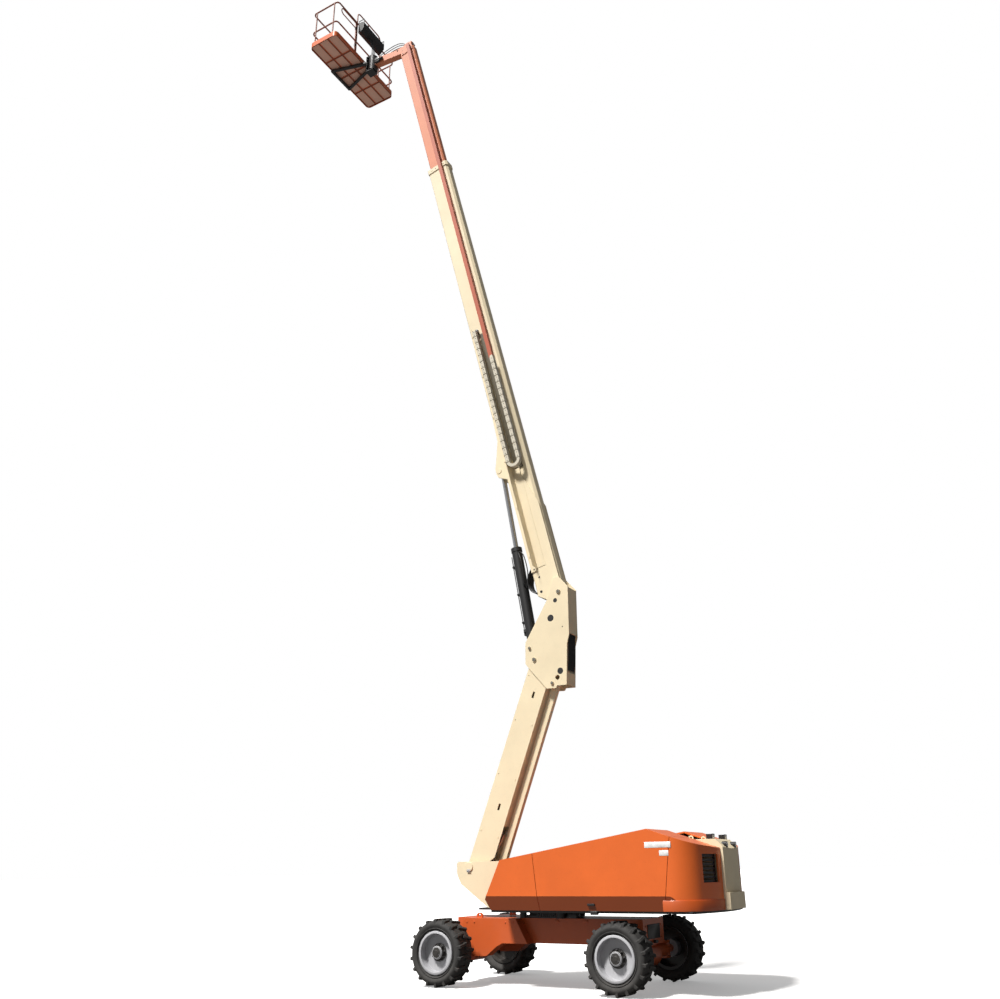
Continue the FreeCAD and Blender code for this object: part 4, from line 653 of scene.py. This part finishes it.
# %% Chassis fittings
SWING_TEETH, FRAME_TOP, FRAME_END = 84, 0.962, 1.640
teeth = bmesh.new()
for number in range(SWING_TEETH):
    block(teeth, (0.425, -0.009, 0.975), (0.446, 0.009, 1.035),
          Matrix.Rotation(number * math.tau / SWING_TEETH, 4, "Z"))
fitting("swing_gear", teeth, IRON, "chassis")

chassis_bits = bmesh.new()
for side in (-1, 1):
    for along in (-1.34, -1.20, -0.62, -0.48):
        bolt(chassis_bits, (along, side * 0.600, 0.90), (0, side, 0), 0.011, 0.009)
    for along in (0.2, 0.7, 1.2):
        block(chassis_bits, (along - 0.035, side * 0.400, 0.905),
              (along + 0.035, side * 0.412, 0.940), bevel=0.003)
    for height in (0.68, 0.88):
        bolt(chassis_bits, (1.56, side * 0.400, height), (0, side, 0), 0.011, 0.009)
for height in (0.70, 0.86):
    for side in (-0.30, 0.30):
        for end in (1, -1):
            bolt(chassis_bits, (end * FRAME_END, side, height), (end, 0, 0), 0.013, 0.010)
fitting("chassis_bolts", chassis_bits, CHASSIS_ORANGE, "chassis")

covers = bmesh.new()
for end in (-1, 1):
    block(covers, (end * FRAME_END, -0.24, 0.68), (end * 1.648, 0.24, 0.88), bevel=0.002)
    block(covers, (end * 1.645, -0.05, 0.62), (end * 1.690, 0.05, 0.66), bevel=0.006)
block(covers, (-0.36, -0.30, FRAME_TOP), (0.52, -0.412, 1.002), bevel=0.004)
bar(covers, (0.30, -0.46, FRAME_TOP), (0.30, -0.46, 1.062), 0.075)
bar(covers, (-0.40, -0.40, FRAME_TOP), (-0.40, -0.40, 1.060), 0.055)
block(covers, (0.40, -0.44, FRAME_TOP), (0.56, -0.30, 1.035), bevel=0.006)
fitting("chassis_covers", covers, BLACK, "chassis")

hoses("axle_hoses",
      [[(1.30, y, 0.62), (1.36, y, 0.56), (1.42, y * 1.5, 0.63), (1.50, y * 2.4, 0.60)]
       for y in (-0.16, -0.12, 0.12, 0.16)]
      + [[(-1.30, y, 0.60), (-1.36, y, 0.55), (-1.44, y * 1.6, 0.66), (-1.50, y * 2.2, 0.60)]
         for y in (-0.16, 0.16)], 0.009, "chassis")
print("chassis fitted")

# %% [markdown]
# ## Hoods
# The hoods are moulded shells. Their lower skirt runs round the tail as a separate strip that
# stands a little proud, so its section is pushed along the side, spun around the corner and
# then around the tail. Latches and blank labels follow.

# %% Hood skirts
CORNER_X, CORNER_Y, SKIRT_FRONT = 2.386, 0.780, 2.302
CORNER = Vector((CORNER_X, -CORNER_Y, 0.0))
CORNER_TURN = math.radians(90.0) - math.atan2(CORNER_Y, CORNER_X)
TAIL_TURN = math.atan2(CORNER_Y, CORNER_X) - math.asin(0.358 / 2.94)


def picked(items, kind):
    return [item for item in items if isinstance(item, kind)]


def skirt():
    """The strip around one rear hood, from its front seam to the counterweight."""
    mesh = bmesh.new()
    section = [mesh.verts.new((CORNER.x, -1.2 + y, z)) for y, z in
               ((0.004, 1.102), (-0.010, 1.104), (-0.014, 1.236), (-0.008, 1.246), (0.004, 1.246))]
    edges = [mesh.edges.new(pair) for pair in zip(section, section[1:] + section[:1])]
    front = bmesh.ops.extrude_edge_only(mesh, edges=edges)["geom"]
    bmesh.ops.translate(mesh, vec=(SKIRT_FRONT - CORNER.x, 0, 0),
                        verts=picked(front, bmesh.types.BMVert))
    bmesh.ops.holes_fill(mesh, edges=[edge for edge in picked(front, bmesh.types.BMEdge)
                                      if len(edge.link_faces) == 1])
    last = bmesh.ops.spin(mesh, geom=section + edges, cent=CORNER, axis=(0, 0, 1),
                          angle=CORNER_TURN, steps=14)["geom_last"]
    last = bmesh.ops.spin(mesh, geom=last, cent=(0, 0, 0), axis=(0, 0, 1),
                          angle=TAIL_TURN, steps=8)["geom_last"]
    bmesh.ops.holes_fill(mesh, edges=picked(last, bmesh.types.BMEdge))
    bmesh.ops.remove_doubles(mesh, verts=mesh.verts, dist=1e-5)
    return mesh


skirt_data = to_data("skirt", skirt(), SKIRT_ORANGE, 40.0)
for side, flip in (("near", 1), ("far", -1)):
    data = skirt_data.copy()
    data.transform(Matrix.Diagonal((1, flip, 1, 1)))
    if flip < 0:
        data.flip_normals()
    ride(f"tail_skirt_{side}", data, "turntable")
print("skirt turns", round(math.degrees(CORNER_TURN), 1), round(math.degrees(TAIL_TURN), 1))

# %% Hood fittings
for side, sign in (("near", -1), ("far", 1)):
    latch = bmesh.new()
    block(latch, (1.155, sign * 1.175, 1.050), (1.265, sign * 1.115, 1.101), bevel=0.006)
    block(latch, (1.120, sign * 1.170, 1.098), (1.300, sign * 1.060, 1.104), bevel=0.002)
    fitting(f"door_latch_foot_{side}", latch, BLACK, "turntable")
    recess = bmesh.new()
    block(recess, (1.120, sign * 1.150, 1.172), (1.235, sign * 1.1935, 1.202), bevel=0.004)
    fitting(f"door_latch_{side}", recess, BLACK_PLASTIC, f"door_{side}")
    label = bmesh.new()
    block(label, (2.07, sign * 1.1990, 1.940), (2.47, sign * 1.2012, 2.020), bevel=0.0005)
    block(label, (2.29, sign * 1.1990, 1.830), (2.43, sign * 1.2012, 1.905), bevel=0.0005)
    fitting(f"blank_labels_{side}", label, LABEL, f"door_{side}")
print("hoods fitted")

# %% [markdown]
# ## Tail
# The counterweight is a casting between the hoods, with two lifting eyes on top and square
# working lamps. Each lamp gets a housing and a lens, and a round lamp stands below it.

# %% Tail fittings
LAMP_Y, ROUND_LAMP = 0.285, (0.20, 1.985)
eyes, lenses, housings = bmesh.new(), bmesh.new(), bmesh.new()
for sign in (-1, 1):
    ring(eyes, [(-0.012, 0.020), (0.012, 0.020), (0.012, 0.040), (-0.012, 0.040)], 20,
         Matrix.Translation((2.45, sign * 0.280, 2.078)))
    block(lenses, (2.800, sign * LAMP_Y - 0.052, 2.068), (2.806, sign * LAMP_Y + 0.052, 2.122),
          bevel=0.004)
    block(housings, (2.795, sign * LAMP_Y - 0.062, 2.058), (2.802, sign * LAMP_Y + 0.062, 2.134),
          bevel=0.003)
    y, z = sign * ROUND_LAMP[0], ROUND_LAMP[1]
    bar(housings, (2.90, y, z), (2.975, y, z), 0.040, sides=24)
    bar(lenses, (2.972, y, z), (2.978, y, z), 0.031, sides=24)
fitting("lifting_eyes", eyes, CREAM, "turntable")
fitting("lamp_housings", housings, BLACK_PLASTIC, "turntable")
fitting("lamp_lenses", lenses, LENS, "turntable")

switch_box = bmesh.new()
block(switch_box, (2.02, -0.352, 2.085), (2.20, -0.262, 2.165), bevel=0.008)
block(switch_box, (2.05, -0.330, 2.055), (2.17, -0.280, 2.090), bevel=0.004)
fitting("tail_switch_box", switch_box, BLACK_PLASTIC, "turntable")

# %% [markdown]
# ## Deck between the hoods
# When the booms lie stowed they rest in the channel between the hoods. The channel floor holds
# the main valve block, and the hoses for the booms run forward from it into the tower's foot.

# %% Deck fittings
DECK, VALVE_TOP = 1.101, 1.165
valves = bmesh.new()
block(valves, (0.90, -0.20, DECK), (1.50, 0.20, VALVE_TOP), bevel=0.010)
for number in range(7):
    x = 0.96 + 0.08 * number
    bar(valves, (x, -0.12, VALVE_TOP), (x, -0.12, 1.198), 0.022)
    bar(valves, (x, 0.10, VALVE_TOP), (x, 0.10, 1.190), 0.014, sides=6)
fitting("valve_block", valves, IRON, "turntable")
hoses("deck_hoses", [[(0.92, y * 0.8, 1.16), (0.60, y, 1.13), (-0.10, y, 1.12), (-0.60, y, 1.125),
                      (-0.95, y * 0.9, 1.13), (-1.22, y * 0.8, 1.19)]
                     for y in (-0.11, -0.07, -0.03, 0.03, 0.07, 0.11)], 0.011, "turntable")

bracket_bits = bmesh.new()
for side in (-1, 1):
    block(bracket_bits, (-1.585, side * 0.229, 1.640), (-1.515, side * 0.236, 1.690), bevel=0.002)
    for along in (-1.565, -1.535):
        bolt(bracket_bits, (along, side * 0.236, 1.665), (0, side, 0), 0.009, 0.008)
    for along in (-0.70, -0.86, -1.02):
        bolt(bracket_bits, (along, side * 0.215, 1.15), (0, side, 0), 0.012, 0.010)
fitting("bracket_bolts", bracket_bits, STEEL, "turntable")
print("turntable fitted")

# %% [markdown]
# ## Tower, upright and lift cylinder
# Each pin ends in a disc with one screw. Hoses climb in the gap between the upright's back
# plate and the boom's tail, where they stay clear as the boom comes down.

# %% Tower and upright fittings
def keeper(mesh, x, z, side, face, at=STRAIGHT, size=0.030):
    """A pin's end disc with the screw that holds it, on one face of an arm."""
    bar(mesh, (x, side * (face - 0.004), z), (x, side * (face + 0.005), z), size, at, 24)
    bolt(mesh, (x, side * (face + 0.005), z), (0, side, 0), 0.010, 0.008, at)


upright_bits = bmesh.new()
for side in (-1, 1):
    for x, z, size in ((0.0, 0.0, 0.036), (0.517, 1.168, 0.036), (-0.089, 0.212, 0.028),
                       (0.346, -0.449, 0.028)):
        keeper(upright_bits, x, z, side, 0.188, ON_UPRIGHT, size)
fitting("upright_pins", upright_bits, WORN_STEEL, "upright")
# Black discs on the upright's plates stand for its holes: their black is painted shade inside the
# holes.
holes = bmesh.new()
for side in (-1, 1):
    for x, z, size in ((0.344, 0.705, 0.062), (0.507, -0.253, 0.056), (0.446, 1.017, 0.040),
                       (0.575, 0.520, 0.011)):
        bar(holes, (x, side * 0.163, z), (x, side * 0.1705, z), size, ON_UPRIGHT, 24)
fitting("upright_holes", holes, BLACK_PLASTIC, "upright")
hoses("upright_hoses", [[(0.560, y, -0.46), (0.640, y, -0.30), (0.663, y, 0.10), (0.664, y, 0.60),
                         (0.668, y, 0.95), (0.672, y, 1.15)]
                        for y in (-0.12, -0.09, -0.06, -0.03, 0.0, 0.03, 0.06, 0.09, 0.12)],
      0.0095, "upright", ON_UPRIGHT)

tower_bits = bmesh.new()
for side in (-1, 1):
    for x in (0.62, 1.60, 2.55, 3.35):
        for rise in (-0.33, 0.03):
            bolt(tower_bits, (x, side * 0.150, rise), (0, side, 0), 0.009, 0.007, ON_TOWER)
fitting("tower_bolts", tower_bits, CREAM, "tower")

lift_bits, lift_blacks = bmesh.new(), bmesh.new()
bar(lift_bits, (0.40, -0.030, 0.112), (1.86, -0.030, 0.112), 0.009, ON_LIFT, 12)
bar(lift_bits, (0.40, 0.030, 0.112), (1.10, 0.030, 0.112), 0.009, ON_LIFT, 12)
for x in (0.55, 1.10, 1.65):
    block(lift_blacks, (x - 0.018, -0.050, 0.088), (x + 0.018, 0.050, 0.128), ON_LIFT, 0.004)
block(lift_blacks, (0.30, -0.050, 0.080), (0.42, 0.050, 0.124), ON_LIFT, 0.006)
for side in (-1, 1):
    bar(lift_blacks, (0.36, side * 0.050, 0.100), (0.36, side * 0.072, 0.100), 0.015, ON_LIFT, 6)
for number in range(6):
    turn = Matrix.Rotation(number * math.tau / 6, 4, "X")
    bolt(lift_bits, (2.010, 0.082, 0.0), (1, 0, 0), 0.010, 0.009, ON_LIFT @ turn)
fitting("lift_pipes", lift_bits, IRON, "lift_barrel")
fitting("lift_valve", lift_blacks, BLACK, "lift_barrel")
hoses("lift_hoses", [[(1.90, -0.06, -0.080), (1.86, -0.09, -0.16), (1.60, -0.10, -0.20),
                      (1.34, -0.09, -0.19), (1.16, -0.07, -0.10)],
                     [(1.88, -0.08, -0.060), (1.80, -0.13, -0.11), (1.56, -0.14, -0.13),
                      (1.30, -0.12, -0.10), (1.20, -0.08, -0.06)]],
      0.010, "lift_barrel", ON_LIFT)
print("tower fitted")

# %% [markdown]
# ## Main boom
# Sliding pads show at the collar where the fly section leaves the boom, and the energy chain
# lies on its tray beside the boom. Each chain link has two rivets on its outer plate, so the
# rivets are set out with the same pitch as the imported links.

# %% Boom fittings
PAD_TIP, PAD_FOOT = -11.315, -11.288
CHAIN_START, CHAIN_PITCH = -2.8335, 0.165
boom_bits, pads, boom_holes = bmesh.new(), bmesh.new(), bmesh.new()
for side in (-1, 1):
    for along, rise, size in ((0.42, -0.30, 0.020), (0.60, -0.36, 0.016)):
        bar(boom_holes, (-along, side * 0.143, rise), (-along, side * 0.1505, rise), size,
            ON_BOOM, 20)
    bar(boom_holes, (-0.14, side * 0.149, -0.33), (-0.14, side * 0.1515, -0.33), 0.026,
        ON_BOOM, 20)
    for rise in (-0.33, -0.22, -0.10, 0.0):
        bolt(boom_bits, (-11.225, side * 0.146, rise), (0, side, 0), 0.010, 0.008, ON_BOOM)
    for low, high in ((-0.36, -0.27), (-0.08, 0.01)):
        inner, outer = sorted((side * 0.102, side * 0.130))
        block(pads, (PAD_TIP, inner, low), (PAD_FOOT, outer, high), ON_BOOM, 0.003)
for across in (-0.07, 0.07):
    for low, high in ((0.034, 0.070), (-0.416, -0.380)):
        block(pads, (PAD_TIP, across - 0.035, low), (PAD_FOOT, across + 0.035, high), ON_BOOM,
              0.003)
fitting("boom_bolts", boom_bits, CREAM, "base_boom")
# Black discs on the boom's tail plates stand for its holes: their black is painted shade inside the
# holes.
fitting("boom_holes", boom_holes, BLACK_PLASTIC, "base_boom")
fitting("boom_pads", pads, BLACK_PLASTIC, "base_boom")

tray_bits, tray_head = bmesh.new(), bmesh.new()
for number in range(6):
    along = -0.80 - number * 1.04
    block(tray_bits, (along - 0.030, -0.330, -0.322), (along + 0.030, -0.131, -0.300), ON_BOOM,
          0.003)
    bolt(tray_bits, (along, -0.300, -0.322), (0, 0, -1), 0.009, 0.008, ON_BOOM)
block(tray_head, (-6.205, -0.236, -0.300), (-6.105, -0.154, -0.200), ON_BOOM, 0.012)
fitting("tray_brackets", tray_bits, CREAM, "base_boom")
fitting("tray_head", tray_head, BLACK, "base_boom")
# Two dark sheets on the boom's side between the chain's runs are painted shade, where the chain
# shades the boom.
tray_shade = bmesh.new()
for near, low, far, high in ((-0.1600, -0.212, -0.1555, -0.124),
                             (-0.1540, -0.120, -0.1302, -0.046)):
    block(tray_shade, (-6.10, near, low), (-2.72, far, high), ON_BOOM, 0.001)
fitting("tray_painted_shade", tray_shade, OLIVE, "base_boom")
hoses("heel_hoses", [[(-0.16, y, -0.40), (-0.18, y, -0.50), (-0.36, y, -0.56 - abs(y) / 3),
                      (-0.58, y, -0.53), (-0.66, y, -0.425)]
                     for y in (-0.10, -0.07, -0.04, -0.01, 0.02, 0.05, 0.08, 0.11)],
      0.013, "base_boom", ON_BOOM)

rivets = bmesh.new()
for count, rise in ((20, -0.245), (15, -0.012)):
    for number in range(count):
        start = CHAIN_START - CHAIN_PITCH * number
        for step in (-0.030, -0.107):
            bar(rivets, (start + step, -0.3415, rise), (start + step, -0.3455, rise), 0.0095,
                ON_BOOM, 10, 0.006)
fitting("chain_rivets", rivets, IRON, "power_track")

fly_bits = bmesh.new()
for side in (-1, 1):
    keeper(fly_bits, -15.85, -0.127, side, 0.117, ON_BOOM, 0.026)
    for along, rise in ((-15.66, 0.0), (-15.66, -0.30), (-15.78, -0.30)):
        bolt(fly_bits, (along, side * 0.114, rise), (0, side, 0), 0.008, 0.007, ON_BOOM)
fitting("fly_bolts", fly_bits, STEEL, "fly_boom")
print("boom fitted")

# %% [markdown]
# ## Nose and rotator
# The rotator turns the platform with a worm, whose black box stands out at one side. Hoses
# arch over from the nose to the rotator's top.

# %% Nose fittings
nose_bits = bmesh.new()
block(nose_bits, (-1.05, -0.138, -0.05), (-0.90, -0.076, 0.10), ON_NOSE, 0.010)
bar(nose_bits, (-1.04, -0.112, 0.02), (-0.80, -0.112, 0.02), 0.034, ON_NOSE, 16)
for side in (-1, 1):
    bar(nose_bits, (-0.34, side * 0.070, 0.03), (-0.34, side * 0.090, 0.03), 0.022, ON_NOSE, 6)
fitting("rotator_worm", nose_bits, BLACK, "nose")
hoses("nose_hoses", [[(-0.06, y, 0.10), (-0.20, y, 0.22 + lift), (-0.50, y, 0.27 + lift),
                      (-0.86, y, 0.20 + lift), (-1.02, y, 0.14), (-1.10, y, 0.10)]
                     for y, lift in ((-0.045, 0.05), (0.0, 0.03), (0.040, 0.0))],
      0.0095, "nose", ON_NOSE)

# %% [markdown]
# ## Platform
# The platform's floor is expanded metal: a lattice of thin crossing strands. The strands are
# bars along two diagonals, cut at the floor's border with two lines of arithmetic each.

# %% Platform floor
WEST, EAST, SOUTH, NORTH = -5.985, -5.172, -1.183, 1.183


def strands(mesh, slope, spacing, level, thick):
    """Crossing strands of one direction, each clipped to the floor's rectangle."""
    first = min(WEST - slope * NORTH, WEST - slope * SOUTH)
    last = max(EAST - slope * NORTH, EAST - slope * SOUTH)
    offset = first + spacing / 2
    while offset < last:
        ends = sorted((edge - offset) / slope for edge in (WEST, EAST))
        low, high = max(SOUTH, ends[0]), min(NORTH, ends[1])
        if high - low > 0.02:
            bar(mesh, (offset + slope * low, low, level), (offset + slope * high, high, level),
                thick, sides=4)
        offset += spacing


lattice = bmesh.new()
for slope in (0.5, -0.5):
    strands(lattice, slope, 0.034, 21.835, 0.0030)
fitting("floor_lattice", lattice, STEEL, "platform")
UNDER, FLOOR_TOP = 21.8263, 21.838
BAYS_X = ((-5.983, -5.742), (-5.709, -5.449), (-5.415, -5.174))
BAYS_Y = ((-1.181, -0.625), (-0.592, -0.017), (0.017, 0.592), (0.625, 1.181))
under = bmesh.new()
for west, east in BAYS_X:
    for south, north in BAYS_Y:
        block(under, (west, south, UNDER - 0.0030), (east, north, UNDER + 0.001))
fitting("floor_underside", under, FLOOR_MESH, "platform")
print("floor has", len(BAYS_X) * len(BAYS_Y), "bays")

# %% Console
console, knobs, stop, guard = (bmesh.new() for _ in range(4))
TOP = 23.001
block(console, (-5.175, -0.34, TOP - 0.129), (-5.144, 0.47, TOP - 0.039), bevel=0.004)
for y in (-0.26, 0.36):
    ring(knobs, [(0.0, 0.024), (0.012, 0.030), (0.030, 0.016), (0.030, 0.0)], 16,
         Matrix.Translation((-5.060, y, TOP)) @ Matrix.Rotation(math.radians(90), 4, "X"))
    bar(knobs, (-5.060, y, TOP + 0.011), (-5.066, y, TOP + 0.096), 0.009)
    bar(knobs, (-5.066, y, TOP + 0.076), (-5.068, y, TOP + 0.121), 0.019, sides=20, tip=0.016)
for number in range(9):
    y = -0.14 + 0.045 * number
    bar(knobs, (-5.100, y, TOP), (-5.100, y, TOP + 0.007), 0.009, sides=12)
    bar(knobs, (-5.100, y, TOP + 0.005), (-5.108, y, TOP + 0.031), 0.004, sides=8)
bar(knobs, (-5.00, -0.16, TOP), (-5.00, -0.16, TOP + 0.021), 0.030, sides=24)
bar(stop, (-5.055, 0.06, TOP), (-5.055, 0.06, TOP + 0.021), 0.016, sides=20)
bar(stop, (-5.055, 0.06, TOP + 0.021), (-5.055, 0.06, TOP + 0.035), 0.030, sides=24, tip=0.024)
for y in (-0.36, 0.49):
    hoop = [(x, y, TOP + rise) for x, rise in ((-4.965, -0.049), (-4.965, 0.071),
                                               (-5.135, 0.071), (-5.135, -0.049))]
    for start, end in zip(hoop, hoop[1:]):
        bar(guard, start, end, 0.010, sides=12)
fitting("console_panel", console, BLACK_PLASTIC, "platform")
fitting("console_levers", knobs, BLACK_PLASTIC, "platform")
fitting("console_stop", stop, RED, "platform")
fitting("console_guard", guard, BLACK, "platform")

pedal = bmesh.new()
block(pedal, (-5.44, -0.10, FLOOR_TOP), (-5.26, 0.10, 21.850), bevel=0.004)
block(pedal, (-5.42, -0.08, 21.850), (-5.30, 0.08, 21.905), bevel=0.010)
for number in range(4):
    x = -5.41 + 0.03 * number
    block(pedal, (x, -0.06, 21.905), (-5.395 + 0.03 * number, 0.06, 21.909))
fitting("foot_switch", pedal, BLACK_PLASTIC, "platform")
gate_bits = bmesh.new()
for z in (22.15, 22.75):
    bar(gate_bits, (-5.164, -0.448, z - 0.04), (-5.164, -0.448, z + 0.04), 0.024, sides=16)
fitting("gate_hinges", gate_bits, BLACK, "gate")
hoses("platform_hoses", [[(-4.90, y, 21.98), (-4.88, y, 22.20), (-4.93, y, 22.40),
                          (-4.97, y, 22.55), (-4.99, y, 22.70)]
                         for y in (-0.06, -0.02, 0.02, 0.06)], 0.009, "platform")
print("platform fitted")

# %% [markdown]
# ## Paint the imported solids
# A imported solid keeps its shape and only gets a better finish. The material replaces the plain
# one in every slot of its object. The names say which paint each piece has, so one table with
# a few words per paint is easier to read and check than one line for each solid.

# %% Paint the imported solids
FINISHES = (
    (CREAM, ("tower_bracket", "counterweight", "tower_boom", "tower_link", "upright", "base_boom",
             "track_tray")),
    (ORANGE, ("hood", "platform_tray")),
    (CHASSIS_ORANGE, ("chassis_frame", "drive_axle", "steer_axle", "knuckle", "tie_rod")),
    (RAIL_ORANGE, ("gate", "platform_rails")),
    (TUBE_ORANGE, ("push_tube",)),
    (PALE_ORANGE, ("fly_boom", "nose_arm")),
    (BLACK, ("swing_bearing", "rotator", "platform_frame", "lift_barrel", "tower_barrels",
             "level_barrel", "tail_lamps", "grille", "turntable")),
    (RUBBER, ("tyre",)),
    (RIM_GREY, ("rim",)),
    (CHROME, ("lift_rod", "tower_rods", "level_rod")),
    (BLACK_PLASTIC, ("control_box",)),
    (CHAIN, ("power_track",)),
    (IRON, ("engine",)),
)
painted = 0
for material, starts in FINISHES:
    for name, solid in frame["nodes"].items():
        if name.startswith(starts):
            for slot in solid.material_slots:
                slot.material = material
            if not solid.material_slots:
                solid.data.materials.append(material)
            painted += 1
print("painted", painted, "of", len(frame["nodes"]))
